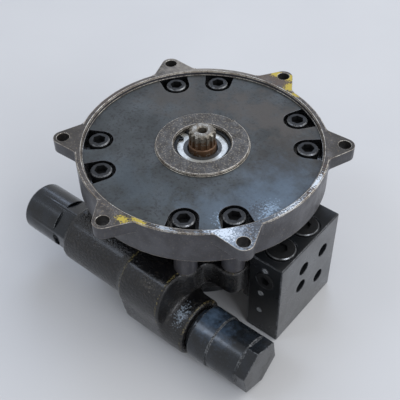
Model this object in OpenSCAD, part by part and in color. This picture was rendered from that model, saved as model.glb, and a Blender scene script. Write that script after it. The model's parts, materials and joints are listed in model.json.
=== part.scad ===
// Hydraulic swing motor: ribless six-ear front flange, splined drive shaft, axial piston group with
// a tilted swash plate, spring-applied brake, two-bore valve casting and a bolted port block.
// Origin: shaft axis on the mounting plane (top of the rim and ears). +Z runs out along the shaft,
// +X towards the port block, the valve casting lies on the -Y side. All lengths are millimetres.

/* [Mounting flange] */
// Radius of the circle that the six ear holes lie on
ear_pitch_r = 120; // [118:0.5:123]
// Angle between the Y axis and each side ear
ear_side_angle = 54; // [50:1:57]
// Diameter of an ear hole
ear_hole_d = 11; // [9:0.5:13]
// Radius of an ear's round tip about its hole
ear_tip_r = 8.5; // [8:0.1:9.5]
// Angle by which each side of an ear spreads towards the rim
ear_flare = 33; // [29:1:35]
// Radius of the concave corner between an ear and the rim
ear_fillet_r = 6; // [3:0.5:8]
// Thickness of an ear
ear_t = 12; // [8:1:16]
// Outer radius of the rim and skirt
rim_outer_r = 108; // [107:0.5:109]
// Width of the raised rim
rim_wall = 5.5; // [4.5:0.5:6]
// Height of the rim above the disc
rim_step = 4; // [3:0.5:5]
// Bevel on the rim's inner edge
rim_bevel = 1; // [0.5:0.1:1.5]
// Depth of the flange's underside below the mounting plane
skirt_h = 32; // [29:1:36]
// Radius of the hub under the flange
hub_r = 66; // [64.5:0.5:67]
// Depth of the joint between flange and housing below the mounting plane
joint_drop = 60; // [58:0.5:62]

/* [Flange centre] */
// Outer radius of the raised centre ring
ring_r = 40.7; // [38:0.1:44]
// Height of the centre ring above the disc
ring_h = 2.5; // [1:0.1:3.5]
// Radius of the bore that holds the shaft seal
seal_bore_r = 24.5; // [24:0.1:25]
// Depth of the seal bore below the ring's top
seal_bore_depth = 14.5; // [13.5:0.1:15.5]
// Radius of the shoulder between seal and bearing
shoulder_r = 20.5; // [19.8:0.1:21]
// Radius of the small drilled hole at the ring's edge
vent_r = 2; // [1:0.1:3]
// Depth of the small drilled hole
vent_depth = 8; // [4:0.5:12]

/* [Flange screws] */
// Distance of the screw axes inside the rim
screw_inset = 13.2; // [12.8:0.1:14]
// Angle from the X axis to the nearer screw of a pair
screw_angle_a = 34.7; // [33.5:0.1:36]
// Angle from the X axis to the further screw of a pair
screw_angle_b = 60; // [59:0.1:61]
// Thread diameter of a flange screw
screw_d = 12; // [10:0.5:12.5]
// Head diameter of a flange screw
screw_head_d = 18; // [16:0.5:19]
// Head height of a flange screw
screw_head_h = 12; // [10:0.5:13]
// Length of a flange screw under its head
screw_len = 60; // [54:1:61]
// Width across the flats of the screw's hexagon socket
screw_socket_af = 10; // [8:0.5:11]
// Depth of the hexagon socket
screw_socket_depth = 6; // [4:0.5:8]
// Depth of a screw head's top below the mounting plane
screw_drop = 3.1; // [2:0.1:4.5]
// Radial play between a flange screw and its hole in the flange
screw_play = 0.6; // [0.3:0.1:1]
// Radius of the pocket round a screw head
pocket_r = 12; // [11:0.1:12.5]
// Extra half-width of a pocket where it meets the rim
pocket_flare = 1.5; // [0:0.1:2.5]
// Radius of the round boss under each screw
boss_r = 9.8; // [9:0.1:10.5]

/* [Drive shaft] */
// Height of the shaft's end above the mounting plane
shaft_rise = 12.5; // [10:0.5:20]
// Number of teeth of the output spline
spline_n = 14; // [12:1:16]
// Tip radius of the output spline
spline_tip_r = 11.5; // [11:0.1:11.9]
// Root radius of the output spline
spline_root_r = 9.9; // [9.4:0.1:10.2]
// Length of the output spline
spline_len = 14; // [10:0.5:14.5]
// Radius of the shaft where the seal runs and the block sits
shaft_r = 12; // [11.95:0.01:12.1]
// Radius of the shaft's shoulder under the front bearing
collar_r = 15; // [14.6:0.1:15.4]
// Thickness of that shoulder
collar_t = 4; // [3:0.1:5]
// Radius of the tapped hole in the shaft's end
end_hole_r = 4; // [3:0.1:4.5]
// Depth of the tapped hole in the shaft's end
end_hole_depth = 18; // [12:0.5:24]
// Bevel at the shaft's end
shaft_bevel = 3; // [2:0.1:3.2]

/* [Bearings] */
// Bore radius of the front bearing
front_bore_r = 12.5; // [12.4:0.05:12.6]
// Outer radius of the front bearing
front_outer_r = 26; // [25.8:0.1:26.4]
// Width of the front bearing
front_w = 15; // [14:0.5:15.5]
// Number of balls in the front bearing
front_n = 9; // [8:1:9]
// Radius of a ball of the front bearing
front_ball_r = 3.97; // [3.6:0.01:4.1]
// Bore radius of the rear bearing
rear_bore_r = 8.5; // [8.4:0.05:8.6]
// Outer radius of the rear bearing
rear_outer_r = 20; // [19.6:0.1:20.3]
// Width of the rear bearing
rear_w = 12; // [11:0.5:12.5]
// Number of balls in the rear bearing
rear_n = 8; // [7:1:8]
// Radius of a ball of the rear bearing
rear_ball_r = 3.37; // [3:0.01:3.5]

/* [Piston group] */
// Number of pistons
piston_n = 9; // [7:1:9]
// Radius of the circle that the pistons lie on
piston_pitch_r = 28; // [27.6:0.1:28.4]
// Radius of a piston
piston_r = 7.5; // [7:0.1:7.7]
// Reach of a piston into the block while the swash plate stands level
piston_reach = 23.5; // [20:0.5:24]
// Radius of a piston's ball
ball_r = 5; // [4.8:0.1:5.1]
// Tilt of the swash plate about the X axis
swash_tilt = 15; // [10:0.5:16]
// Depth of the plane of ball centres below the mounting plane, on the shaft axis
ball_drop = 60.5; // [60:0.1:61]
// Distance from the ball centres to the swash plate's running face
slipper_h = 8; // [7.6:0.1:8.4]
// Radius of a slipper's foot
slipper_r = 8.5; // [8:0.1:8.8]
// Outer radius of the swash plate
swash_r = 41.5; // [40.5:0.1:42]
// Outer radius of the cylinder block
block_r = 41; // [40.6:0.1:41.2]
// Depth of the cylinder block's front face below the mounting plane
block_drop = 75; // [74.5:0.1:76]
// Length of the cylinder block
block_len = 38; // [37:0.1:38]
// Depth of the cylinder bores from the block's front face
cylinder_depth = 32; // [31.5:0.1:33]
// Thickness of the valve plate
valve_plate_t = 3.9; // [3.5:0.1:3.9]
// Outer radius of the valve plate
valve_plate_r = 36; // [34:0.5:38]

/* [Brake] */
// Outer radius of the brake piston's large end
brake_big_r = 58; // [57.5:0.1:58.5]
// Outer radius of the brake piston's small end
brake_small_r = 55; // [54.6:0.1:55.4]
// Inner radius of the brake piston
brake_inner_r = 45.5; // [44.5:0.1:46.5]
// Thickness of a steel brake plate
steel_t = 2.5; // [2:0.1:2.6]
// Thickness of the space for a lined disc
lining_t = 3; // [2.6:0.1:3.1]
// Number of lined discs
lining_n = 2; // [2:1:2]
// Number of brake springs
brake_spring_n = 9; // [6:1:10]
// Radius of the circle that the brake springs lie on
brake_spring_pitch_r = 51; // [50.5:0.1:51.5]

/* [Motor housing] */
// Thickness of the housing's top plate
plate_t = 26; // [24:0.5:28]
// Corner radius of the top plate round the nearer screws
lug_a_r = 11.5; // [11:0.1:12]
// Corner radius of the top plate round the further screws
lug_b_r = 10; // [9.8:0.1:10.5]
// Radius of the inside corners of the top plate
plate_fillet_r = 6; // [3:0.5:7]
// Outer radius of the round body below the plate
body_r = 66; // [65.5:0.1:66.8]
// Radius of the housing's lower chamber
chamber_r = 45.5; // [45:0.1:46]
// How far the pad for the port block stands out from the barrel
pad_stand = 17; // [16.8:0.1:17.6]
// Half-width of the pad that carries the port block
pad_half_w = 34; // [33.5:0.5:36]
// Thickness of the pad's ears
pad_t = 11; // [9:0.5:11.5]

/* [Valve casting] */
// Distance of both valve bores from the shaft axis, towards -Y
valve_offset = 86.8; // [86.8:0.1:88]
// Depth of the upper valve bore below the mounting plane
upper_drop = 87.2; // [87:0.1:87.6]
// Depth of the lower valve bore below the mounting plane
lower_drop = 115.8; // [115.4:0.1:116]
// Outer radius of the casting round the upper bore
upper_lobe_r = 31; // [29:0.5:32]
// Outer radius of the casting round the lower bore
lower_lobe_r = 26.2; // [25.5:0.1:26.2]
// Outer radius of the upper barrel
barrel_r = 27; // [25:0.1:27.1]
// Length of the upper barrel
barrel_len = 72.5; // [68:0.5:76]
// Place of the casting's left end along X
casting_x = 2.5; // [0:0.5:5]
// Length of the casting's main part along X
casting_len = 44.5; // [43:0.5:46]
// Length of the lower neck
neck_len = 20; // [18:0.5:22]
// Radius of a valve bore
spool_r = 9; // [8.5:0.1:9.2]
// Radius of the thread in each mouth
mouth_r = 16.5; // [15.5:0.1:17]
// Depth of the thread in each mouth
mouth_depth = 18; // [15:0.5:18]
// Height of the housing's rear face above the feet
foot_height = 25; // [25:0.5:26]

/* [Valve caps] */
// Radius of a cap's barrel
cap_r = 23; // [22:0.1:23.4]
// Width across the flats of a cap's hexagon
cap_af = 41; // [38:0.5:42]
// Length of the left cap outside the barrel
left_cap_len = 56; // [52:1:60]
// Length of the left cap's hexagon
left_hex_len = 16; // [12:0.5:18]
// Length of the groove behind the right cap's collar
right_groove_len = 4; // [3:0.5:5]
// Radius of that groove
right_groove_r = 20; // [19:0.1:21]
// Radius of the right cap's collar
right_collar_r = 24; // [23.4:0.1:24.6]
// Length of the right cap's collar
right_collar_len = 20; // [16:0.5:24]
// Length of the right cap's barrel beyond the collar
right_barrel_len = 29; // [25:0.5:33]
// Length of the right cap's hexagon
right_hex_len = 10; // [8:0.5:13]
// Radius of the spring chamber in each cap
cap_chamber_r = 12; // [11.5:0.1:12.5]
// Thickness of each cap's end wall
cap_wall = 12; // [9:0.5:14]

/* [Port block] */
// Thickness of the port block along X
block_x = 32.3; // [31.5:0.1:34]
// Place of the block's -Y face
block_y_low = 41.5; // [40.5:0.1:42]
// Place of the block's +Y face
block_y_high = 43.5; // [43:0.1:46]
// Depth of the block's top below the mounting plane
block_top_drop = 49.5; // [48.5:0.1:50.5]
// Distance of the relief cartridges from the block's outer face
relief_inset = 15.6; // [15.2:0.1:16]
// Place along Y of the first relief cartridge, towards -Y
relief_a_y = 21.2; // [20.8:0.1:21.6]
// Place along Y of the second relief cartridge, towards +Y
relief_b_y = 12.8; // [12.4:0.1:13.2]
// Radius of a relief cartridge's pocket
relief_r = 9.5; // [9:0.1:9.8]
// Depth of a relief cartridge's pocket
relief_depth = 20.5; // [20:0.5:21.5]
// Radius of a relief plug's head
relief_head_r = 12.5; // [11.5:0.1:12.8]
// Radius of a small tapped port on the outer face
small_port_r = 6.3; // [5.5:0.1:6.6]
// Depth of a small tapped port
small_port_depth = 13; // [10:0.5:13.5]
// Radius of a main port on the +Y face
main_port_r = 10.5; // [9.5:0.1:10.6]
// Depth of a main port
main_port_depth = 13; // [11:0.5:13]
// Radius of the round plug on the -Y face
side_plug_r = 8.6; // [8:0.1:9]

/* [Hidden] */
$fn = 96;
// Overrun of every cut past the face that it opens
over = 0.5;
// Play of pressed, screwed and seated round parts, on the radius
seat_play = 0.02;
// Play of running and sliding round parts, on the radius
run_play = 0.04;
// Play between flat faces that slide on each other
face_play = 0.05;
// Bevel of machined outer edges
edge = 0.8;

// Levels along Z, counted from the mounting plane
disc_z = -rim_step;
ring_z = disc_z + ring_h;
seal_floor_z = ring_z - seal_bore_depth;
shoulder_t = 2;
front_z = seal_floor_z - shoulder_t;
front_end_z = front_z - front_w;
swash_gap = 3;
swash_seat_z = front_end_z - swash_gap;
joint_z = -joint_drop;
plate_z = joint_z - plate_t;
ball_z = -ball_drop;
block_z = -block_drop;
block_end_z = block_z - block_len;
rear_z = block_end_z - valve_plate_t - 2 * face_play;
foot_z = rear_z - foot_height;
upper_z = -upper_drop;
lower_z = -lower_drop;
skirt_z = -skirt_h;

// Places of the ears, the screws and the pistons round the shaft axis
ear_angles = [90 - ear_side_angle, 90, 90 + ear_side_angle,
  270 - ear_side_angle, 270, 270 + ear_side_angle];
rim_inner_r = rim_outer_r - rim_wall;
screw_pitch_r = rim_inner_r - screw_inset;
piston_len = block_drop - ball_drop + piston_reach;
quarter_angles = [0, 180];
screw_angles = [for (q = quarter_angles) for (a = [screw_angle_a, screw_angle_b,
  180 - screw_angle_b, 180 - screw_angle_a]) a + q];
piston_angles = [for (i = [0 : piston_n - 1]) 90 + 360 * i / piston_n];
lug_a_x = screw_pitch_r * cos(screw_angle_a);
lug_a_y = screw_pitch_r * sin(screw_angle_a);
lug_b_x = screw_pitch_r * cos(screw_angle_b);
lug_b_y = screw_pitch_r * sin(screw_angle_b);

// Flange screws
screw_r = screw_d / 2;
head_bevel = 1;
thread_bevel = 1.2;
hole_spare = 2;
pocket_ledge = 0.8;
screw_seat_z = -screw_drop - screw_head_h;
screw_end_z = screw_seat_z - screw_len;

// Centre ring, circlip and seal
bore_bevel = 1.2;
circlip_depth = 3.8;
circlip_t = 2;
circlip_inner_r = 21.9;
circlip_groove_depth = 1.5;
circlip_groove_r = seal_bore_r + circlip_groove_depth;
circlip_z = ring_z - circlip_depth;
circlip_low_z = circlip_z - circlip_t;
circlip_gap = 7;
circlip_lug_r = 2.4;
circlip_lug_hole_r = 1.1;
circlip_lug_angle = 13;
circlip_place_angle = 175;
seal_top_z = circlip_low_z - face_play;
seal_h = 8;
seal_wall = 1.6;
seal_face_r = 16.7;
seal_lip_inner_r = 13.2;
seal_lip_t = 1.2;
vent_angle = 88;

// Drive shaft
shaft_bevel_h = 1.8;
spline_low_z = shaft_rise - spline_len;
spline_tip_share = 0.36;
spline_root_share = 0.62;
seat_land = 1;
rear_bearing_z = rear_z - seat_land;
rear_end_z = rear_bearing_z - rear_w;
shaft_end_z = rear_end_z - seat_land;
inner_spline_n = 16;
inner_spline_h = 1.2;
inner_root_r = shaft_r - inner_spline_h;
inner_spline_z = block_z;
inner_spline_low_z = block_end_z + seat_land;
tail_play = 0.2;
tail_r = inner_root_r - tail_play;
end_sink_w = 1.2;
end_sink_r = end_hole_r + end_sink_w;
end_sink_h = 1.2;

// Bearings
front_pitch_r = (front_bore_r + front_outer_r) / 2;
rear_pitch_r = (rear_bore_r + rear_outer_r) / 2;
land_share = 0.48;
cage_share = 0.27;
cage_len_share = 2.7;
cage_play = 0.13;
race_play = 0.03;
ring_bevel = 0.8;

// Swash plate, slippers, retainer plate and pistons
swash_hole_r = 17.3;
slipper_foot_t = 3;
slipper_neck_r = 6.5;
slipper_neck_low = 2;
slipper_hole_r = 1;
retainer_top = 4.8;
retainer_t = 2.5;
retainer_r = 38;
retainer_hole_r = 7;
guide_r = 16.5;
guide_top = 7;
guide_play = 0.2;
guide_len = 11.5;
piston_neck_r = 3.3;
piston_neck_len = 9;
piston_hollow_r = 4.6;
piston_hollow_len = 20;
piston_bevel = 0.8;

// Cylinder block and valve plate
spring_well_r = 18;
spring_well_depth = 20;
cylinder_port_r = 4;
tooth_n = 24;
tooth_h = 1.8;
tooth_drop = 3;
tooth_len = 18;
tooth_root_r = block_r - tooth_h;
tooth_tip_share = 0.38;
tooth_root_share = 0.6;
valve_plate_z = block_end_z - face_play;
valve_plate_bore_r = 14;
kidney_w = 9;
kidney_span_angle = 62;
pin_r = 2;
pin_len = 7;
pin_pitch_r = 33;

// Brake
brake_top_gap = 2.3;
brake_z = joint_z - brake_top_gap;
brake_step = 6.7;
bore_step = 10;
stack_drop = 20;
brake_step_z = brake_z - brake_step;
bore_step_z = joint_z - bore_step;
stack_z = joint_z - stack_drop;
stack_t = (lining_n + 1) * steel_t + lining_n * lining_t;
stack_end_z = stack_z - stack_t;
steel_inner_r = 43.5;
stack_bore_r = 51.4;
steel_play = 0.3;
steel_lug_n = 4;
steel_lug_w = 14;
steel_lug_angle = 45;
disc_outer_r = 50.2;
tooth_play = 0.12;
ring_groove_h = 3;
ring_groove_depth = 2.5;
brake_spring_r = 3.2;
brake_wire_r = 0.8;
brake_spring_turns = 5;
brake_pocket_r = 4.3;
brake_pocket_depth = 16;

// Seal rings of the joints
oring_r = 1.25;
oring_side = 0.3;
housing_oring_r = 62;
cover_oring_r = 48.5;

// Motor housing
lug_slot_play = 0.3;
drain_r = 14;
drain_x = 76;
drain_gap = 9;
drain_z = stack_end_z - drain_gap;
drain_hole_r = 8.3;
drain_hole_depth = 14;
drain_bore_r = 5;
release_hole_r = 5.7;
release_hole_depth = 14;
release_bore_r = 1.8;
link_len = 40;
link_low_y = 52;
neck_half_w = 15;
block_notch = 44.2;

// Rear cover
cover_r = 62;
cover_t = 11;
cover_boss_r = 46;
cover_clip = 51.5;
cover_screw_n = 5;
cover_step_angle = 55;
cover_start_angle = -20;
cover_screw_pitch_r = 54.8;
cover_screw_r = 4;
cover_head_r = 6.5;
cover_head_h = 8;
cover_screw_len = 22;
cover_socket_af = 6;
cover_socket_depth = 4;
cover_screw_play = 0.4;
cover_screw_angles = [for (i = [0 : cover_screw_n - 1]) cover_start_angle + cover_step_angle * i];
kidney_depth = 8;
tail_room_r = 16;
tail_room_h = 2.5;

// Valve bores, spools, seats and springs
barrel_end_x = casting_x - barrel_len;
casting_end_x = casting_x + casting_len;
neck_end_x = casting_end_x + neck_len;
left_floor_x = barrel_end_x + mouth_depth;
right_floor_x = neck_end_x - mouth_depth;
left_bore_end_x = 38;
right_bore_end_x = 8;
mouth_bevel = 3.4;
sleeve_gap = 1;
left_spool_room = 8;
spool_left_len = left_bore_end_x - left_floor_x - left_spool_room;
right_spool_room = 6;
spool_right_len = right_floor_x - right_bore_end_x - right_spool_room;
spool_groove_r = 5.5;
spool_land_share = 0.22;
seat_head_r = 11.3;
seat_head_t = 3;
seat_stem_r = 7.4;
seat_stem_len = 8;
valve_spring_r = 9.6;
valve_wire_r = 1.4;
left_turns = 9;
right_turns = 10;
cross_bore_r = 3;
cross_bore_x = 24;

// Valve caps
cap_bevel = 3;
hex_angle = 50;
right_collar_x = neck_end_x + right_groove_len;
right_barrel_x = right_collar_x + right_collar_len;
right_hex_x = right_barrel_x + right_barrel_len;
right_cap_end_x = right_hex_x + right_hex_len;
cap_oring_r = 1.15;
cap_root_depth = 0.7;
cap_root_r = mouth_r - cap_root_depth;

// Port block
pad_x = body_r + pad_stand;
block_end_x = pad_x + block_x;
block_top_z = -block_top_drop;
relief_x = block_end_x - relief_inset;
relief_floor_z = block_top_z - relief_depth;
relief_spot_r = 14;
relief_spot_depth = 1;
relief_head_h = 2.5;
relief_head_z = block_top_z - relief_spot_depth;
relief_thread_len = 5.5;
relief_socket_af = 10;
relief_socket_depth = 5;
relief_seat_t = 2.5;
relief_seat_r = 5;
poppet_play = 0.06;
poppet_lift = 0.1;
poppet_len = 6;
poppet_cone_r = 8;
poppet_hollow_r = 6.5;
poppet_floor = 1.5;
relief_bore_r = 4;
relief_a_bore_len = 35;
relief_b_bore_len = 8;
relief_coil_r = 5;
relief_wire_r = 0.75;
relief_turns = 3;
side_ports = [[22.5, 78, 0], [-7, 76, 1.5], [20, 110, 3], [-9, 97, -1.5]];
main_port_inset = 13;
main_port_x = pad_x + main_port_inset;
main_ports = [[75, 1.5], [101.5, 0]];
main_spot_r = 12.5;
main_spot_depth = 0.8;
main_bore_r = 4;
side_plug_inset = 16.4;
side_plug_x = pad_x + side_plug_inset;
side_plug_drop = 71.5;
side_plug_depth = 10;
side_plug_head_t = 1.5;
side_plug_thread_r = 7;
side_plug_af = 8;
side_plug_gap = 0.4;
side_plug_proud = 0.5;
side_plug_socket = 4;
side_bore_r = 2;
side_bore_z_drop = 73.5;
gallery_places = [[16, 59.5], [12.9, 90.5], [12.3, 113.8]];
gallery_r = 3;
gallery_depth = 5;
gallery_bore_r = 2;
gallery_bore_len = 12;
block_screw_y = 25;
block_screw_drops = [95, 111];
block_screw_r = 4;
block_screw_af = 13;
block_screw_head_h = 5.3;
block_screw_len = 22;
block_screw_spare = 1;
block_screw_play = 0.4;

// Shared shapes

// Round bar between two levels
module rod(r, low, high) {
  translate([0, 0, low]) cylinder(r = r, h = high - low);
}

// Round bar between two levels with a bevel at either end
module bevel_rod(r, low, high, low_bevel, high_bevel) {
  rotate_extrude() polygon([
    [0, low], [r - low_bevel, low], [r, low + low_bevel],
    [r, high - high_bevel], [r - high_bevel, high], [0, high]
  ]);
}

// Ring of rectangular section
module ring(outer, inner, low, high) {
  difference() {
    rod(outer, low, high);
    rod(inner, low - over, high + over);
  }
}

// Ring of round section
module oring(r, wire) {
  rotate_extrude() translate([r, 0]) circle(r = wire, $fn = 32);
}

// Lays a shape that stands along Z along +X, at a place and level
module along_x(x, y, z) {
  translate([x, y, z]) rotate([0, 90, 0]) children();
}

// Lays a shape that stands along Z along +Y
module along_y(x, y, z) {
  translate([x, y, z]) rotate([-90, 0, 0]) children();
}

// Moves a shape to a radius and angle round the shaft axis
module polar(r, angle) {
  rotate([0, 0, angle]) translate([r, 0, 0]) children();
}

// Tilted frame of the swash plate, with its origin on the shaft axis in the plane of ball centres
module tilted() {
  translate([0, 0, ball_z]) rotate([swash_tilt, 0, 0]) children();
}

// Six-sided bar across its flats
module hexagon(af, low, high) {
  translate([0, 0, low]) cylinder(r = af / 2 / cos(30), h = high - low, $fn = 6);
}

// Coil spring of round wire as one unbroken tube, its ends a wire's radius inside both levels
module coil(r, wire, low, high, turns, sides, steps) {
  stations = turns * steps;
  rise = (high - low - 2 * wire) / stations;
  points = [for (i = [0 : stations]) for (j = [0 : sides - 1])
    let (a = 360 * i / steps, b = 360 * j / sides, d = r + wire * cos(b))
    [d * cos(a), d * sin(a), low + wire + rise * i + wire * sin(b)]];
  side_faces = [for (i = [0 : stations - 1]) for (j = [0 : sides - 1])
    let (k = (j + 1) % sides, p = i * sides, q = (i + 1) * sides)
    each [[p + j, q + j, q + k], [p + j, q + k, p + k]]];
  first = [for (j = [0 : sides - 1]) j];
  last = [for (j = [sides - 1 : -1 : 0]) stations * sides + j];
  polyhedron(points = points, faces = concat(side_faces, [first, last]));
}

// Socket-head screw with its seat at zero, head up and shank down
module cap_screw(r, head_r, head_h, len, af, socket_depth) {
  difference() {
    union() {
      bevel_rod(head_r, 0, head_h, 0, head_bevel);
      bevel_rod(r, -len, 0, thread_bevel, 0);
    }
    hexagon(af, head_h - socket_depth, head_h + over);
  }
}

// Trapezoid teeth round the shaft axis, from inside the root circle to past the tip circle
module teeth(n, root_r, tip_r, root_share, tip_share, low, high, grow) {
  pitch = 360 / n;
  for (i = [0 : n - 1]) rotate([0, 0, pitch * i]) translate([0, 0, low])
    linear_extrude(high - low) polygon([
      [root_r * cos(pitch), -tan(pitch * root_share / 2) * root_r - grow],
      [tip_r + over, -tan(pitch * tip_share / 2) * tip_r - grow],
      [tip_r + over, tan(pitch * tip_share / 2) * tip_r + grow],
      [root_r * cos(pitch), tan(pitch * root_share / 2) * root_r + grow]
    ]);
}

// Outline that wraps two circles, the second straight above the first at a distance
module lobe(r1, r2, distance) {
  turn = acos((r1 - r2) / distance);
  circle(r = r1);
  translate([distance, 0]) circle(r = r2);
  polygon([
    [r1 * cos(turn), r1 * sin(turn)],
    [distance + r2 * cos(turn), r2 * sin(turn)],
    [distance + r2 * cos(turn), -r2 * sin(turn)],
    [r1 * cos(turn), -r1 * sin(turn)]
  ]);
}

// Rectangle with round corners about the origin
module round_rect(half_x, half_y, r) {
  square([2 * (half_x - r), 2 * half_y], center = true);
  square([2 * half_x, 2 * (half_y - r)], center = true);
  for (x = [-1, 1]) for (y = [-1, 1])
    translate([x * (half_x - r), y * (half_y - r)]) circle(r = r);
}

// Box with beveled edges between two corners
module bevel_box(a, b, bevel) {
  size = b - a;
  module outline(w, h) {
    polygon([
      [bevel, 0], [w - bevel, 0], [w, bevel], [w, h - bevel],
      [w - bevel, h], [bevel, h], [0, h - bevel], [0, bevel]
    ]);
  }
  translate(a) intersection() {
    linear_extrude(size.z) outline(size.x, size.y);
    translate([0, size.y, 0]) rotate([90, 0, 0]) linear_extrude(size.y) outline(size.x, size.z);
    rotate([90, 0, 90]) linear_extrude(size.x) outline(size.y, size.z);
  }
}

// Front flange

// One ear in plan, along +X, with its round tip, straight sides and concave corners to the rim
module ear_outline() {
  reach = ear_pitch_r * sin(ear_flare) + ear_tip_r;
  side = [sin(ear_flare), cos(ear_flare)];
  along = [cos(ear_flare), -sin(ear_flare)];
  slide = sqrt(pow(rim_outer_r + ear_fillet_r, 2) - pow(reach + ear_fillet_r, 2));
  corner = (reach + ear_fillet_r) * side + slide * along;
  touch = corner - ear_fillet_r * side;
  on_rim = corner * rim_outer_r / (rim_outer_r + ear_fillet_r);
  tip = [ear_pitch_r, 0] + ear_tip_r * side;
  inner = [rim_outer_r - ear_fillet_r, 0];
  translate([ear_pitch_r, 0]) circle(r = ear_tip_r);
  polygon([
    inner, [touch.x, touch.y], [tip.x, tip.y], [ear_pitch_r, 0], [tip.x, -tip.y], [touch.x, -touch.y]
  ]);
  for (m = [0, 1]) mirror([0, m]) difference() {
    polygon([inner, on_rim, corner, touch]);
    translate(corner) circle(r = ear_fillet_r);
  }
}

// Pocket round one screw head in plan, along +X, open outwards to the rim
module pocket_outline() {
  far = rim_inner_r + over;
  intersection() {
    union() {
      translate([screw_pitch_r, 0]) circle(r = pocket_r);
      polygon([
        [screw_pitch_r, -pocket_r], [far, -pocket_r - pocket_flare],
        [far, pocket_r + pocket_flare], [screw_pitch_r, pocket_r]
      ]);
    }
    circle(r = rim_inner_r - pocket_ledge);
  }
}

module front_flange() {
  color("#55565a") difference() {
    union() {
      bevel_rod(rim_outer_r, skirt_z, 0, edge, edge);
      for (a = ear_angles) rotate([0, 0, a]) translate([0, 0, -ear_t])
        linear_extrude(ear_t) ear_outline();
      rod(hub_r, joint_z, skirt_z + edge);
      for (a = screw_angles) polar(screw_pitch_r, a) rod(boss_r, joint_z, skirt_z + edge);
    }
    difference() {
      union() {
        rod(rim_inner_r, disc_z, over);
        translate([0, 0, -rim_bevel])
          cylinder(r1 = rim_inner_r, r2 = rim_inner_r + rim_bevel + over, h = rim_bevel + over);
      }
      bevel_rod(ring_r, disc_z - over, ring_z, 0, edge);
    }
    for (a = ear_angles) polar(ear_pitch_r, a) rod(ear_hole_d / 2, -ear_t - over, over);
    for (a = screw_angles) {
      rotate([0, 0, a]) translate([0, 0, screw_seat_z])
        linear_extrude(over - screw_seat_z) pocket_outline();
      polar(screw_pitch_r, a) rod(screw_r + screw_play, joint_z - over, screw_seat_z + over);
    }
    rod(seal_bore_r, seal_floor_z, over);
    translate([0, 0, ring_z - bore_bevel])
      cylinder(r1 = seal_bore_r, r2 = seal_bore_r + bore_bevel + over, h = bore_bevel + over);
    rod(circlip_groove_r, circlip_low_z - face_play, circlip_z + face_play);
    rod(shoulder_r, front_z - over, seal_floor_z + over);
    rod(front_outer_r + seat_play, swash_seat_z - over, front_z);
    rod(swash_r + seat_play, joint_z - over, swash_seat_z);
    polar(ring_r, vent_angle) rod(vent_r, disc_z - vent_depth, over);
    for (i = [0 : brake_spring_n - 1]) polar(brake_spring_pitch_r, 360 * i / brake_spring_n)
      rod(brake_pocket_r, joint_z - over, joint_z + brake_pocket_depth);
  }
}

module flange_screws() {
  color("#2b2c2f") for (a = screw_angles) polar(screw_pitch_r, a) translate([0, 0, screw_seat_z])
    cap_screw(screw_r, screw_head_d / 2, screw_head_h, screw_len, screw_socket_af,
      screw_socket_depth);
}

// Shaft seal

module seal_circlip() {
  color("#8b8f93") rotate([0, 0, circlip_place_angle]) translate([0, 0, circlip_low_z]) difference() {
    union() {
      ring(circlip_groove_r - seat_play, circlip_inner_r, 0, circlip_t);
      for (m = [-1, 1]) polar(circlip_inner_r, m * circlip_lug_angle)
        rod(circlip_lug_r, 0, circlip_t);
    }
    translate([circlip_inner_r / 2, -circlip_gap / 2, -over])
      cube([circlip_groove_r, circlip_gap, circlip_t + 2 * over]);
    for (m = [-1, 1]) polar(circlip_inner_r, m * circlip_lug_angle)
      rod(circlip_lug_hole_r, -over, circlip_t + over);
  }
}

module seal_case() {
  outer = seal_bore_r - seat_play;
  color("#d8dadb") rotate_extrude() polygon([
    [outer, seal_top_z - seal_h], [outer, seal_top_z], [seal_face_r + seat_play, seal_top_z],
    [seal_face_r + seat_play, seal_top_z - seal_wall], [outer - seal_wall, seal_top_z - seal_wall],
    [outer - seal_wall, seal_top_z - seal_h]
  ]);
}

module seal_lip() {
  outer = seal_bore_r - seat_play - seal_wall - seat_play;
  under = seal_top_z - seal_wall - seat_play;
  edge_z = seal_top_z - seal_h + 2 * seal_lip_t;
  lip = shaft_r + run_play;
  color("#77797b") rotate_extrude() polygon([
    [seal_face_r, seal_top_z], [seal_lip_inner_r, seal_top_z],
    [seal_lip_inner_r, seal_top_z - seal_lip_t],
    [seal_lip_inner_r + seal_lip_t, under], [lip, edge_z + seal_lip_t], [lip, edge_z],
    [seal_lip_inner_r + 2 * seal_lip_t, edge_z - seal_lip_t],
    [seal_face_r, under - seal_wall], [outer, under - seal_wall], [outer, under],
    [seal_face_r, under]
  ]);
}

// Drive shaft

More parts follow.
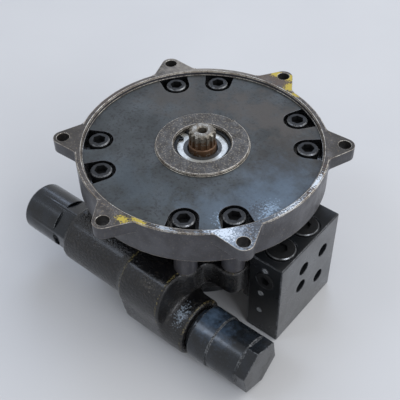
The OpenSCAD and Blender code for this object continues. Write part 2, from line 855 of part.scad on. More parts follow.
module drive_shaft() {
  collar_low_z = front_end_z - collar_t;
  color("#a9a6a2") difference() {
    union() {
      intersection() {
        union() {
          rod(spline_root_r, spline_low_z, shaft_rise);
          teeth(spline_n, spline_root_r, spline_tip_r, spline_root_share, spline_tip_share,
            spline_low_z, shaft_rise, 0);
        }
        rotate_extrude() polygon([
          [0, spline_low_z], [spline_tip_r, spline_low_z], [spline_tip_r, shaft_rise - shaft_bevel_h],
          [spline_tip_r - shaft_bevel, shaft_rise], [0, shaft_rise]
        ]);
      }
      rotate_extrude() polygon([
        [0, spline_low_z], [shaft_r - edge, spline_low_z], [shaft_r, spline_low_z - edge],
        [shaft_r, front_z + seat_land], [front_bore_r, front_z + seat_land],
        [front_bore_r, front_end_z], [collar_r, front_end_z], [collar_r, collar_low_z],
        [shaft_r, collar_low_z], [shaft_r, inner_spline_z], [inner_root_r, inner_spline_z],
        [inner_root_r, inner_spline_low_z], [tail_r, inner_spline_low_z], [tail_r, rear_bearing_z],
        [rear_bore_r, rear_bearing_z], [rear_bore_r, shaft_end_z + edge],
        [rear_bore_r - edge, shaft_end_z], [0, shaft_end_z]
      ]);
      intersection() {
        teeth(inner_spline_n, inner_root_r, shaft_r, spline_root_share, spline_tip_share,
          inner_spline_low_z, inner_spline_z, 0);
        rod(shaft_r, inner_spline_low_z, inner_spline_z);
      }
    }
    rod(end_hole_r, shaft_rise - end_hole_depth, shaft_rise + over);
    translate([0, 0, shaft_rise - end_sink_h])
      cylinder(r1 = end_hole_r, r2 = end_sink_r + over, h = end_sink_h + over);
  }
}

// Ball bearings

module bearing_outer(outer_r, pitch_r, ball, top_z, w) {
  inner_r = pitch_r + ball * land_share;
  rotate_extrude() difference() {
    polygon([
      [inner_r, top_z - w], [outer_r - ring_bevel, top_z - w], [outer_r, top_z - w + ring_bevel],
      [outer_r, top_z - ring_bevel], [outer_r - ring_bevel, top_z], [inner_r, top_z]
    ]);
    translate([pitch_r, top_z - w / 2]) circle(r = ball + race_play);
  }
}

module bearing_inner(bore_r, pitch_r, ball, top_z, w) {
  outer_r = pitch_r - ball * land_share;
  rotate_extrude() difference() {
    translate([bore_r + seat_play, top_z - w]) square([outer_r - bore_r - seat_play, w]);
    translate([pitch_r, top_z - w / 2]) circle(r = ball + race_play);
  }
}

module bearing_cage(pitch_r, ball, n, top_z, w) {
  half_h = ball * cage_len_share / 2;
  middle = top_z - w / 2;
  difference() {
    ring(pitch_r + ball * cage_share, pitch_r - ball * cage_share, middle - half_h, middle + half_h);
    for (i = [0 : n - 1]) rotate([0, 0, 360 * i / n]) along_x(0, 0, middle)
      rod(ball + cage_play, pitch_r - ball * cage_share - over, pitch_r + ball);
  }
}

module bearing_balls(pitch_r, ball, n, top_z, w) {
  for (i = [0 : n - 1]) polar(pitch_r, 360 * i / n) translate([0, 0, top_z - w / 2])
    sphere(r = ball);
}

module front_bearing_outer() {
  color("#b4b7ba") bearing_outer(front_outer_r, front_pitch_r, front_ball_r, front_z, front_w);
}

module front_bearing_inner() {
  color("#b4b7ba") bearing_inner(front_bore_r, front_pitch_r, front_ball_r, front_z, front_w);
}

module front_bearing_cage() {
  color("#9c8f6a") bearing_cage(front_pitch_r, front_ball_r, front_n, front_z, front_w);
}

module front_bearing_balls() {
  color("#c9ccce") bearing_balls(front_pitch_r, front_ball_r, front_n, front_z, front_w);
}

module rear_bearing_outer() {
  color("#b4b7ba") bearing_outer(rear_outer_r, rear_pitch_r, rear_ball_r, rear_bearing_z, rear_w);
}

module rear_bearing_inner() {
  color("#b4b7ba") bearing_inner(rear_bore_r, rear_pitch_r, rear_ball_r, rear_bearing_z, rear_w);
}

module rear_bearing_cage() {
  color("#9c8f6a") bearing_cage(rear_pitch_r, rear_ball_r, rear_n, rear_bearing_z, rear_w);
}

module rear_bearing_balls() {
  color("#c9ccce") bearing_balls(rear_pitch_r, rear_ball_r, rear_n, rear_bearing_z, rear_w);
}

// Piston group

module swash_plate() {
  size = 2 * swash_r + 2 * over;
  color("#8d9094") difference() {
    rod(swash_r, ball_z - swash_r, swash_seat_z);
    rod(swash_hole_r, ball_z - swash_r - over, swash_seat_z + over);
    tilted() translate([-size, -size, slipper_h - size]) cube([2 * size, 2 * size, size]);
  }
}

// Places one piece per piston on the swash plate, under the ball of its piston
module each_slipper() {
  for (a = piston_angles) tilted()
    translate([piston_pitch_r * cos(a), piston_pitch_r * sin(a) / cos(swash_tilt), 0]) children();
}

module slippers() {
  color("#b08d4c") each_slipper() difference() {
    union() {
      rod(slipper_r, slipper_h - slipper_foot_t, slipper_h - face_play);
      rod(slipper_neck_r, -slipper_neck_low, slipper_h - slipper_foot_t);
    }
    sphere(r = ball_r + run_play);
    rod(slipper_hole_r, 0, slipper_h + over);
  }
}

module retainer_plate() {
  color("#9a9da0") difference() {
    tilted() ring(retainer_r, guide_r + guide_play, retainer_top - retainer_t, retainer_top);
    each_slipper() rod(retainer_hole_r, retainer_top - retainer_t - over, retainer_top + over);
  }
}

module ball_guide() {
  color("#9a9da0") difference() {
    union() {
      intersection() {
        translate([0, 0, ball_z]) sphere(r = guide_r);
        rod(guide_r + over, ball_z, ball_z + guide_top);
      }
      rod(guide_r, ball_z - guide_len, ball_z);
    }
    rod(shaft_r + run_play, ball_z - guide_len - over, ball_z + guide_r + over);
  }
}

module block_spring() {
  color("#3d4043") coil((shaft_r + spring_well_r) / 2, valve_wire_r, block_z - spring_well_depth,
    ball_z - guide_len, 4, 6, 14);
}

module cylinder_block() {
  tooth_z = block_z - tooth_drop;
  color("#7f8386") difference() {
    union() {
      bevel_rod(tooth_root_r, block_end_z, block_z, edge, edge);
      intersection() {
        teeth(tooth_n, tooth_root_r, block_r, tooth_root_share, tooth_tip_share,
          tooth_z - tooth_len, tooth_z, 0);
        bevel_rod(block_r, tooth_z - tooth_len, tooth_z, edge, edge);
      }
    }
    for (a = piston_angles) polar(piston_pitch_r, a) {
      rod(piston_r + run_play, block_z - cylinder_depth, block_z + over);
      rod(cylinder_port_r, block_end_z - over, block_z - cylinder_depth + over);
    }
    rod(spring_well_r, block_z - spring_well_depth, block_z + over);
    rod(inner_root_r + race_play, block_end_z - over, block_z);
    intersection() {
      teeth(inner_spline_n, inner_root_r, shaft_r, spline_root_share, spline_tip_share,
        block_end_z - over, block_z, race_play);
      rod(shaft_r + race_play, block_end_z - 2 * over, block_z);
    }
  }
}

module pistons() {
  color("#c2c5c8") for (a = piston_angles)
    translate([piston_pitch_r * cos(a), piston_pitch_r * sin(a),
      ball_z + piston_pitch_r * sin(a) * tan(swash_tilt)]) difference() {
      union() {
        sphere(r = ball_r);
        rod(piston_neck_r, -piston_neck_len - over, 0);
        bevel_rod(piston_r, -piston_len, -piston_neck_len, piston_bevel, piston_bevel);
      }
      rod(piston_hollow_r, -piston_len - over, piston_hollow_len - piston_len);
    }
}

// Curved slot round the shaft axis, centred on an angle
module kidney(r, w, span, middle, low, high) {
  rotate([0, 0, middle - span / 2]) rotate_extrude(angle = span)
    translate([r - w / 2, low]) square([w, high - low]);
  for (m = [-1, 1]) polar(r, middle + m * span / 2) rod(w / 2, low, high);
}

module valve_plate() {
  low = valve_plate_z - valve_plate_t;
  color("#b9975a") difference() {
    ring(valve_plate_r, valve_plate_bore_r, low, valve_plate_z);
    for (a = [0, 180]) kidney(piston_pitch_r, kidney_w, 2 * kidney_span_angle, a, low - over,
      valve_plate_z + over);
    polar(pin_pitch_r, 90) rod(pin_r + seat_play, low - over, low + pin_len / 3);
  }
}

module valve_plate_pin() {
  low = valve_plate_z - valve_plate_t;
  color("#b4b7ba") polar(pin_pitch_r, 90)
    bevel_rod(pin_r, low - pin_len * 2 / 3, low + pin_len / 3 - face_play, piston_bevel / 2,
      piston_bevel / 2);
}

// Brake

module brake_piston() {
  color("#8d9094") difference() {
    union() {
      bevel_rod(brake_big_r, brake_step_z, brake_z, edge, edge);
      bevel_rod(brake_small_r, stack_z, brake_step_z + over, edge, 0);
    }
    rod(brake_inner_r, stack_z - over, brake_z + over);
    for (g = brake_grooves()) ring(g[0] + over, g[0] - ring_groove_depth,
      g[1] - ring_groove_h / 2, g[1] + ring_groove_h / 2);
  }
}

// Radius and level of the two ring grooves of the brake piston
function brake_grooves() = [
  [brake_big_r, (brake_z + brake_step_z) / 2],
  [brake_small_r, (stack_z + bore_step_z) / 2]
];

module brake_piston_rings() {
  color("#2a2a2a") for (g = brake_grooves()) ring(g[0], g[0] - ring_groove_depth + seat_play,
    g[1] - ring_groove_h / 2 + face_play, g[1] + ring_groove_h / 2 - face_play);
}

module brake_springs() {
  color("#3d4043") for (i = [0 : brake_spring_n - 1])
    polar(brake_spring_pitch_r, 360 * i / brake_spring_n)
      coil(brake_spring_r, brake_wire_r, brake_z, joint_z + brake_pocket_depth,
        brake_spring_turns, 5, 9);
}

module friction_discs() {
  color("#6f5b45") for (i = [0 : lining_n - 1]) {
    top = stack_z - steel_t * (i + 1) - lining_t * i - face_play;
    low = top - lining_t + 2 * face_play;
    difference() {
      ring(disc_outer_r, tooth_root_r + tooth_play, low, top);
      intersection() {
        teeth(tooth_n, tooth_root_r, block_r, tooth_root_share, tooth_tip_share, low - over,
          top + over, tooth_play);
        rod(block_r + tooth_play, low - 2 * over, top + 2 * over);
      }
    }
  }
}

// Ring with lugs that reach into the housing's slots, grown by a play
module lugged(outer, tip, play, low, high) {
  rod(outer + play, low, high);
  intersection() {
    rod(tip + play, low, high);
    for (i = [0 : steel_lug_n - 1]) polar(0, steel_lug_angle + 360 * i / steel_lug_n)
      translate([0, -steel_lug_w / 2 - play, low])
        cube([tip + over, steel_lug_w + 2 * play, high - low]);
  }
}

module steel_plates() {
  color("#8f9295") for (i = [0 : lining_n]) {
    top = stack_z - (steel_t + lining_t) * i;
    difference() {
      lugged(stack_bore_r - steel_play, brake_small_r - steel_play, 0, top - steel_t, top);
      rod(steel_inner_r, top - steel_t - over, top + over);
    }
  }
}

// Motor housing

// Cross-shaped outline of the top plate with concave inner corners
module plate_outline() {
  round_rect(lug_a_x + lug_a_r, lug_a_y + lug_a_r, lug_a_r);
  round_rect(lug_b_x + lug_b_r, lug_b_y + lug_b_r, lug_b_r);
  for (x = [0, 1]) for (y = [0, 1]) mirror([x, 0]) mirror([0, y])
    translate([lug_b_x + lug_b_r, lug_a_y + lug_a_r]) difference() {
      translate([-over, -over]) square(plate_fillet_r + over);
      translate([plate_fillet_r, plate_fillet_r]) circle(r = plate_fillet_r);
    }
}

// Outer form of the valve casting: two stacked lobes, a barrel to the left and a neck to the right
module casting_form() {
  along_x(casting_x, -valve_offset, upper_z) linear_extrude(casting_len)
    lobe(upper_lobe_r, lower_lobe_r, lower_drop - upper_drop);
  along_x(casting_x, -valve_offset, upper_z) bevel_rod(barrel_r, -barrel_len, over, edge, 0);
  along_x(casting_end_x, -valve_offset, lower_z) bevel_rod(lower_lobe_r, -over, neck_len, 0, edge);
  translate([casting_x, -valve_offset, foot_z])
    cube([link_len, valve_offset - link_low_y, plate_z - foot_z + over]);
}

// Bore of a valve from its mouth: thread, sealing bevel and spool bore
module valve_bore(len) {
  rod(mouth_r, -mouth_depth, over);
  translate([0, 0, -mouth_bevel])
    cylinder(r1 = mouth_r, r2 = mouth_r + mouth_bevel + over, h = mouth_bevel + over);
  rod(spool_r + run_play, -len, over - mouth_depth);
}

module motor_housing() {
  color("#1d1e21") difference() {
    union() {
      translate([0, 0, plate_z]) linear_extrude(plate_t) plate_outline();
      rod(body_r, rear_z, plate_z + over);
      translate([0, -neck_half_w, rear_z]) cube([pad_x, 2 * neck_half_w, plate_z - rear_z + over]);
      translate([pad_x - pad_t, -pad_half_w, rear_z])
        cube([pad_t, 2 * pad_half_w, plate_z - rear_z + over]);
      translate([0, 0, drain_z]) rotate([0, -90, 0]) bevel_rod(drain_r, 0, drain_x, 0, edge);
      intersection() {
        casting_form();
        translate([barrel_end_x - over, -2 * valve_offset, foot_z])
          cube([neck_end_x - barrel_end_x + 2 * over, 2 * valve_offset, joint_z - foot_z]);
      }
    }
    translate([pad_x, -block_notch, plate_z - over])
      cube([pad_x, 2 * block_notch, plate_t + 2 * over]);
    for (a = screw_angles) polar(screw_pitch_r, a)
      rod(screw_r + seat_play, screw_end_z - hole_spare, joint_z + over);
    ring(housing_oring_r + oring_r + oring_side, housing_oring_r - oring_r - oring_side,
      joint_z - 2 * (oring_r + seat_play), joint_z + over);
    rod(brake_big_r + face_play, bore_step_z, joint_z + over);
    rod(brake_small_r + face_play, stack_z - over, bore_step_z + over);
    lugged(stack_bore_r, brake_small_r, lug_slot_play / 2, stack_end_z, stack_z);
    rod(chamber_r, rear_z - over, stack_end_z + over);
    ring(cover_oring_r + oring_r + oring_side, cover_oring_r - oring_r - oring_side, rear_z - over,
      rear_z + 2 * (oring_r + seat_play));
    for (a = cover_screw_angles) polar(cover_screw_pitch_r, a)
      rod(cover_screw_r + seat_play, rear_z - over, rear_z + cover_screw_len - cover_t + hole_spare);
    translate([0, 0, drain_z]) rotate([0, -90, 0]) {
      rod(drain_hole_r, drain_x - drain_hole_depth, drain_x + over);
      rod(drain_bore_r, 0, drain_x);
    }
    along_y(0, lug_b_y + lug_b_r, bore_step_z) {
      rod(release_hole_r, -release_hole_depth, over);
      rod(release_bore_r, brake_small_r - lug_b_y - lug_b_r, 0);
    }
    for (y = [-block_screw_y, block_screw_y]) for (d = block_screw_drops)
      along_x(0, y, -d) rod(block_screw_r + block_screw_play, pad_x - pad_t - over, pad_x + over);
    translate([barrel_end_x, -valve_offset, upper_z]) rotate([0, -90, 0])
      valve_bore(left_bore_end_x - barrel_end_x);
    along_x(neck_end_x, -valve_offset, lower_z) valve_bore(neck_end_x - right_bore_end_x);
    translate([cross_bore_x, -valve_offset, 0]) rod(cross_bore_r, lower_z, upper_z);
  }
}

module housing_oring() {
  color("#161616") translate([0, 0, joint_z - oring_r - seat_play]) oring(housing_oring_r, oring_r);
}

// Rear cover

module rear_cover() {
  bottom = rear_z - cover_t;
  color("#1d1e21") difference() {
    union() {
      bevel_rod(cover_r, bottom, rear_z, edge, 0);
      bevel_rod(cover_boss_r, foot_z, bottom + over, edge, 0);
    }
    translate([-cover_r, -cover_r - cover_clip, foot_z - over])
      cube([2 * cover_r, cover_r, rear_z - foot_z + 2 * over]);
    rod(rear_outer_r + seat_play, rear_end_z, rear_z + over);
    rod(tail_room_r, rear_end_z - tail_room_h, rear_end_z + over);
    for (a = [0, 180]) kidney(piston_pitch_r, kidney_w, 2 * kidney_span_angle, a, rear_z - kidney_depth,
      rear_z + over);
    polar(pin_pitch_r, 90) rod(pin_r + seat_play, rear_z - pin_len * 2 / 3 - face_play, rear_z + over);
    for (a = cover_screw_angles) polar(cover_screw_pitch_r, a)
      rod(cover_screw_r + cover_screw_play, bottom - over, rear_z + over);
  }
}

module rear_cover_screws() {
  color("#2b2c2f") for (a = cover_screw_angles) polar(cover_screw_pitch_r, a)
    translate([0, 0, rear_z - cover_t]) mirror([0, 0, 1])
      cap_screw(cover_screw_r, cover_head_r, cover_head_h, cover_screw_len, cover_socket_af,
        cover_socket_depth);
}

module rear_cover_oring() {
  color("#161616") translate([0, 0, rear_z + oring_r + seat_play]) oring(cover_oring_r, oring_r);
}

// Valve caps, spools, seats and springs

module left_cap() {
  len = left_cap_len;
  color("#17181b") translate([barrel_end_x, -valve_offset, upper_z]) rotate([0, -90, 0]) difference() {
    union() {
      intersection() {
        bevel_rod(cap_r, face_play, len, edge, cap_bevel);
        union() {
          rotate([0, 0, hex_angle]) hexagon(cap_af, 0, left_hex_len + over);
          rod(cap_r, left_hex_len, len + over);
        }
      }
      rod(cap_root_r, -mouth_bevel, edge);
      rod(mouth_r - seat_play, sleeve_gap - mouth_depth, -mouth_bevel);
    }
    rod(cap_chamber_r, -mouth_depth, len - cap_wall);
  }
}

module left_cap_oring() {
  color("#161616") translate([barrel_end_x - face_play + cap_oring_r, -valve_offset, upper_z])
    rotate([0, 90, 0]) oring(cap_root_r + cap_oring_r + seat_play, cap_oring_r);
}

module right_cap() {
  groove_end = right_groove_len;
  collar_end = groove_end + right_collar_len;
  barrel_end = collar_end + right_barrel_len;
  end = barrel_end + right_hex_len;
  color("#17181b") along_x(neck_end_x, -valve_offset, lower_z) difference() {
    union() {
      rod(right_groove_r, face_play, groove_end + over);
      bevel_rod(right_collar_r, groove_end, collar_end, edge, edge);
      bevel_rod(cap_r, collar_end - over, barrel_end, 0, edge);
      intersection() {
        rotate([0, 0, -hex_angle]) hexagon(cap_af, barrel_end - over, end);
        bevel_rod(cap_af / 2 / cos(30), barrel_end - over, end, 0, edge);
      }
      rod(cap_root_r, -mouth_bevel, edge);
      rod(mouth_r - seat_play, sleeve_gap - mouth_depth, -mouth_bevel);
    }
    rod(cap_chamber_r, -mouth_depth, end - cap_wall);
  }
}

module right_cap_oring() {
  color("#161616") translate([neck_end_x + face_play - cap_oring_r, -valve_offset, lower_z])
    rotate([0, 90, 0]) oring(cap_root_r + cap_oring_r + seat_play, cap_oring_r);
}

// Spring seat with its face at zero, head and stem pointing up
module spring_seat() {
  bevel_rod(seat_head_r, 0, seat_head_t, 0, piston_bevel);
  bevel_rod(seat_stem_r, 0, seat_head_t + seat_stem_len, 0, piston_bevel);
}

// Spool from zero down, with two grooves between its lands
module spool(len) {
  land = len * spool_land_share;
  groove = (len - 3 * land) / 2;
  difference() {
    bevel_rod(spool_r, -len, 0, piston_bevel, piston_bevel);
    for (i = [0, 1]) ring(spool_r + over, spool_groove_r, -land - groove - i * (land + groove),
      -land - i * (land + groove));
  }
}

module left_spool() {
  color("#b4b7ba") translate([left_floor_x, -valve_offset, upper_z]) rotate([0, -90, 0])
    spool(spool_left_len);
}

module left_spring_seat() {
  color("#9a9da0") translate([left_floor_x, -valve_offset, upper_z]) rotate([0, -90, 0])
    spring_seat();
}

module left_spring() {
  low = seat_head_t;
  high = mouth_depth + left_cap_len - cap_wall;
  color("#3d4043") translate([left_floor_x, -valve_offset, upper_z]) rotate([0, -90, 0])
    coil(valve_spring_r, valve_wire_r, low, high, left_turns, 6, 12);
}

module right_spool() {
  color("#b4b7ba") along_x(right_floor_x, -valve_offset, lower_z) spool(spool_right_len);
}

module right_spring_seat() {
  color("#9a9da0") along_x(right_floor_x, -valve_offset, lower_z) spring_seat();
}

module right_spring() {
  high = mouth_depth + right_cap_end_x - neck_end_x - cap_wall;
  color("#3d4043") along_x(right_floor_x, -valve_offset, lower_z)
    coil(valve_spring_r, valve_wire_r, seat_head_t, high, right_turns, 6, 12);
}

// Port block

module port_block() {
  color("#232529") difference() {
    bevel_box([pad_x, -block_y_low, foot_z], [block_end_x, block_y_high, block_top_z], edge);
    for (y = [-relief_a_y, relief_b_y]) translate([relief_x, y, 0]) {
      rod(relief_spot_r, relief_head_z, block_top_z + over);
      rod(relief_r + seat_play, relief_floor_z, relief_head_z + over);
    }
    translate([relief_x, -relief_a_y, 0])
      rod(relief_bore_r, relief_floor_z - relief_a_bore_len, relief_floor_z + over);
    translate([relief_x, relief_b_y, 0])
      rod(relief_bore_r, relief_floor_z - relief_b_bore_len, relief_floor_z + over);
    for (p = side_ports) along_x(block_end_x, p[0], -p[1]) rod(small_port_r, -small_port_depth - p[2], over);
    for (p = main_ports) along_y(main_port_x, block_y_high, -p[0]) {
      rod(main_spot_r, -main_spot_depth, over);
      rod(main_port_r, -main_spot_depth - main_port_depth - p[1], over);
    }
    along_y(main_port_x, block_y_high, -main_ports[0][0])
      rod(main_bore_r, relief_b_y - block_y_high, -main_port_depth);
    along_y(main_port_x, block_y_high, -main_ports[1][0])
      rod(main_bore_r, -relief_a_y - block_y_high, -main_port_depth);
    translate([side_plug_x, -block_y_low, -side_plug_drop]) rotate([90, 0, 0]) {
      rod(side_plug_r + side_plug_gap, -side_plug_head_t, over);
      rod(side_plug_thread_r + seat_play, -side_plug_head_t - side_plug_depth, over);
    }
    translate([side_plug_x, -block_y_low, -side_bore_z_drop]) rotate([90, 0, 0])
      rod(side_bore_r, relief_a_y - block_y_low, 0);
    for (p = gallery_places) translate([pad_x + p[0], -block_y_low, -p[1]]) rotate([90, 0, 0]) {
      rod(gallery_r + seat_play, -gallery_depth, over);
      rod(gallery_bore_r, -gallery_bore_len, over);
    }
    for (y = [-block_screw_y, block_screw_y]) for (d = block_screw_drops) along_x(pad_x, y, -d)
      rod(block_screw_r + seat_play, -over, block_screw_len - pad_t + block_screw_spare);
  }
}

module port_block_screws() {
  color("#3a3c3f") for (y = [-block_screw_y, block_screw_y]) for (d = block_screw_drops)
    translate([pad_x - pad_t, y, -d]) rotate([0, -90, 0]) {
      hexagon(block_screw_af, 0, block_screw_head_h);
      bevel_rod(block_screw_r, -block_screw_len, over, piston_bevel, 0);
    }
}

module relief_plugs() {
  color("#2b2c2f") for (y = [-relief_a_y, relief_b_y]) translate([relief_x, y, relief_head_z])
    difference() {
      union() {
        bevel_rod(relief_head_r, 0, relief_head_h, 0, edge);
        rod(relief_r, -relief_thread_len, over);
      }
      hexagon(relief_socket_af, relief_head_h - relief_socket_depth, relief_head_h + over);
    }
}

module relief_seats() {
  color("#b4b7ba") for (y = [-relief_a_y, relief_b_y]) translate([relief_x, y, relief_floor_z])
    ring(relief_r, relief_seat_r, 0, relief_seat_t);
}

// Hollow poppet above its seat, its cone just clear of the seat's inner corner
module poppet() {
  low = relief_seat_t + poppet_cone_r - relief_seat_r;
  tip = low - poppet_cone_r + poppet_floor;
  difference() {
    union() {
      bevel_rod(relief_r - poppet_play, low, low + poppet_len, 0, edge / 2);
      translate([0, 0, tip]) cylinder(r1 = poppet_floor, r2 = poppet_cone_r, h = low - tip);
    }
    rod(poppet_hollow_r, low + poppet_floor, low + poppet_len + over);
  }
}

module relief_poppet_a() {
  color("#c2c5c8") translate([relief_x, -relief_a_y, relief_floor_z + poppet_lift]) poppet();
}

module relief_poppet_b() {
  color("#c2c5c8") translate([relief_x, relief_b_y, relief_floor_z + poppet_lift]) poppet();
}

module relief_coil() {
  low = relief_floor_z + relief_seat_t + poppet_cone_r - relief_seat_r + poppet_floor + poppet_lift;
  translate([relief_x, 0, 0]) coil(relief_coil_r, relief_wire_r, low,
    relief_head_z - relief_thread_len, relief_turns, 6, 12);
}

module relief_spring_a() {
  color("#3d4043") translate([0, -relief_a_y, 0]) relief_coil();
}

module relief_spring_b() {
  color("#3d4043") translate([0, relief_b_y, 0]) relief_coil();
}

module side_plug() {
  color("#2b2c2f") translate([side_plug_x, -block_y_low, -side_plug_drop]) rotate([90, 0, 0])
    difference() {
      union() {
        bevel_rod(side_plug_r, -side_plug_head_t, side_plug_proud, 0, edge / 2);
        bevel_rod(side_plug_thread_r, -side_plug_head_t - side_plug_depth + hole_spare, 0, edge, 0);
      }
      hexagon(side_plug_af, -side_plug_socket, side_plug_proud + over);
    }
}

module gallery_plugs() {
  color("#c9ccce") for (p = gallery_places) translate([pad_x + p[0], -block_y_low, -p[1]])
    rotate([90, 0, 0]) bevel_rod(gallery_r, -gallery_depth, 0, edge / 2, edge / 2);
}

front_flange();
flange_screws();
seal_circlip();
seal_case();
seal_lip();
front_bearing_outer();
front_bearing_inner();
front_bearing_cage();
front_bearing_balls();
drive_shaft();
swash_plate();
slippers();
retainer_plate();
ball_guide();
block_spring();
cylinder_block();
pistons();
valve_plate();
valve_plate_pin();
rear_bearing_outer();
rear_bearing_inner();
rear_bearing_cage();
rear_bearing_balls();
brake_piston();
brake_piston_rings();
brake_springs();
friction_discs();
steel_plates();
motor_housing();
housing_oring();
rear_cover();
rear_cover_screws();
rear_cover_oring();
left_cap();
left_cap_oring();
left_spring();
left_spring_seat();
left_spool();
right_cap();
right_cap_oring();
right_spring();
right_spring_seat();
right_spool();
port_block();
port_block_screws();
relief_plugs();
relief_seats();
relief_poppet_a();
relief_poppet_b();
relief_spring_a();
relief_spring_b();
side_plug();
gallery_plugs();
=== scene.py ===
"""Looks of a hydraulic swing motor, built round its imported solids.

The motor lies on a pale floor with its splined shaft up: a grey cast flange with six ears, a black
housing with a two-bore valve casting and two long caps, and a black machined port block.
"""

from __future__ import annotations

import json
import logging
import math
from dataclasses import dataclass
from enum import Enum, IntEnum
from typing import Callable

import bmesh
import bpy
import numpy as np
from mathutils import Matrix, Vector


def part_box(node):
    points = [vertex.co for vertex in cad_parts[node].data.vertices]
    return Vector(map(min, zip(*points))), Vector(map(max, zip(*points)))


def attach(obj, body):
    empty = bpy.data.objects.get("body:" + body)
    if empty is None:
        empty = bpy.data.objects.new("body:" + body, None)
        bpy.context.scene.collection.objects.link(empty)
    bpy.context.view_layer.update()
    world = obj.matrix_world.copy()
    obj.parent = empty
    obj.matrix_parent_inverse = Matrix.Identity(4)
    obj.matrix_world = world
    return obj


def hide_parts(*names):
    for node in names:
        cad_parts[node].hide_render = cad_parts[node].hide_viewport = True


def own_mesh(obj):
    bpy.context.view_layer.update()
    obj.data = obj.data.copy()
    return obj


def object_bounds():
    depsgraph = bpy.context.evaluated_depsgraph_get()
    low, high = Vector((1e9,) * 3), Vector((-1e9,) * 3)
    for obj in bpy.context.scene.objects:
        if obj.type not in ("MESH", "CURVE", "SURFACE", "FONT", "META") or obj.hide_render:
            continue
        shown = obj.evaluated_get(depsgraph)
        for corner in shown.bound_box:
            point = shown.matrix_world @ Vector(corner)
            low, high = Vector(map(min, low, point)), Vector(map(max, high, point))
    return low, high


LOG = logging.getLogger("swing_motor")

# A millimetre, and how near two corners are when they are joined, both in metres
MM = 0.001
WELD = 2e-6
# Faces that turn by less than this many degrees are joined into one
FLAT_DEGREES = 0.6
# Places are told apart by this many digits of a metre, which is a hundredth of a millimetre
PLACE_DIGITS = 5
# The value that noise lies about
NOISE_MIDDLE = 0.5

Tree = bpy.types.NodeTree
Socket = bpy.types.NodeSocket
Triple = tuple[float, float, float]

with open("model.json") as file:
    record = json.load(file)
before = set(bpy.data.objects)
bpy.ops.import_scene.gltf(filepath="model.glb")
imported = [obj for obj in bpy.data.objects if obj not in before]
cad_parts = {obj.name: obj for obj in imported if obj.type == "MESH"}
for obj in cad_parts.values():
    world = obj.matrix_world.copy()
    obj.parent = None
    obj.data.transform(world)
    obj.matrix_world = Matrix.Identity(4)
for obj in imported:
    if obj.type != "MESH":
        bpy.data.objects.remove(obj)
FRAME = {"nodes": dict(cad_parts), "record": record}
CAD_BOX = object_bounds()


class Axis(IntEnum):
    """An axis of the frame, by its place in a vector."""

    X = 0
    Y = 1
    Z = 2


def linear(hex_colour: str) -> tuple[float, float, float, float]:
    """Turns an sRGB hex colour into linear light, by the curve of its standard.

    Args:
        hex_colour: six hex digits.

    Returns:
        Red, green, blue and full opacity.
    """
    parts = [int(hex_colour[i : i + 2], 16) / 255 for i in (0, 2, 4)]
    light = [c / 12.92 if c <= 0.04045 else ((c + 0.055) / 1.055) ** 2.4 for c in parts]
    return light[0], light[1], light[2], 1.0


def add_node(
    tree: Tree,
    kind: str,
    settings: dict[str, object] | None = None,
    inputs: dict[object, object] | None = None,
) -> bpy.types.Node:
    """Adds one node, sets its properties and fills or links its inputs.

    Args:
        tree: the node tree.
        kind: the node's type name.
        settings: properties by name.
        inputs: values or output sockets by the input's name or place.

    Returns:
        The new node.
    """
    node = tree.nodes.new(kind)
    for key, value in (settings or {}).items():
        setattr(node, key, value)
    for key, value in (inputs or {}).items():
        if isinstance(value, Socket):
            tree.links.new(value, node.inputs[key])
        else:
            node.inputs[key].default_value = value
    return node


# Finishes


@dataclass(frozen=True)
class Patch:
    """A place where another colour lies on a surface, such as a paint mark, a film of oil or a
    painted highlight.

    Its centre and half size are in mm, cover is how much of the place it takes, grain is the size
    in mm of the noise that frays it, and soft is how gently it fades out.
    """

    colour: str
    centre: Triple
    size: Triple
    cover: float = 0.5
    grain: float = 2.5
    roughness: float = 0.5
    strength: float = 1.0
    soft: float = 0.05

    # How much a patch thins out towards its end, and how far its cover moves its border
    THINNING = 0.35
    BORDER_MOVE = 0.45
    FRAY_DETAIL = 4.0
    FRAY_ROUGHNESS = 0.65

    def lay(self, tree: Tree, place: Socket, colour: Socket, rough: Socket) -> tuple[Socket, Socket]:
        """Lays the patch on a finish.

        Args:
            tree: the finish's node tree.
            place: the object coordinates.
            colour: the finish's colour so far.
            rough: its roughness so far.

        Returns:
            The colour and the roughness with the patch on them.
        """
        inward = add_node(tree, "ShaderNodeMapping", {"vector_type": "TEXTURE"}, {
            "Vector": place, "Location": [c * MM for c in self.centre],
            "Scale": [s * MM for s in self.size]}).outputs[0]
        reach = add_node(tree, "ShaderNodeVectorMath", {"operation": "LENGTH"}, {
            0: inward}).outputs["Value"]
        fray = add_node(tree, "ShaderNodeTexNoise", {}, {
            "Vector": place, "Scale": 1.0 / (self.grain * MM), "Detail": self.FRAY_DETAIL,
            "Roughness": self.FRAY_ROUGHNESS}).outputs["Fac"]
        value = add_node(tree, "ShaderNodeMath", {"operation": "MULTIPLY_ADD"}, {
            0: reach, 1: -self.THINNING, 2: fray}).outputs[0]
        border = NOISE_MIDDLE - self.cover * self.BORDER_MOVE
        mask = add_node(tree, "ShaderNodeMapRange", {"interpolation_type": "SMOOTHSTEP"}, {
            "Value": value, "From Min": border - self.soft, "From Max": border + self.soft,
            "To Max": self.strength}).outputs["Result"]
        over = add_node(tree, "ShaderNodeMix", {"data_type": "RGBA"}, {
            0: mask, 6: colour, 7: linear(self.colour)}).outputs[2]
        rough_over = add_node(tree, "ShaderNodeMix", {"data_type": "FLOAT"}, {
            0: mask, 2: rough, 3: self.roughness}).outputs[0]
        return over, rough_over


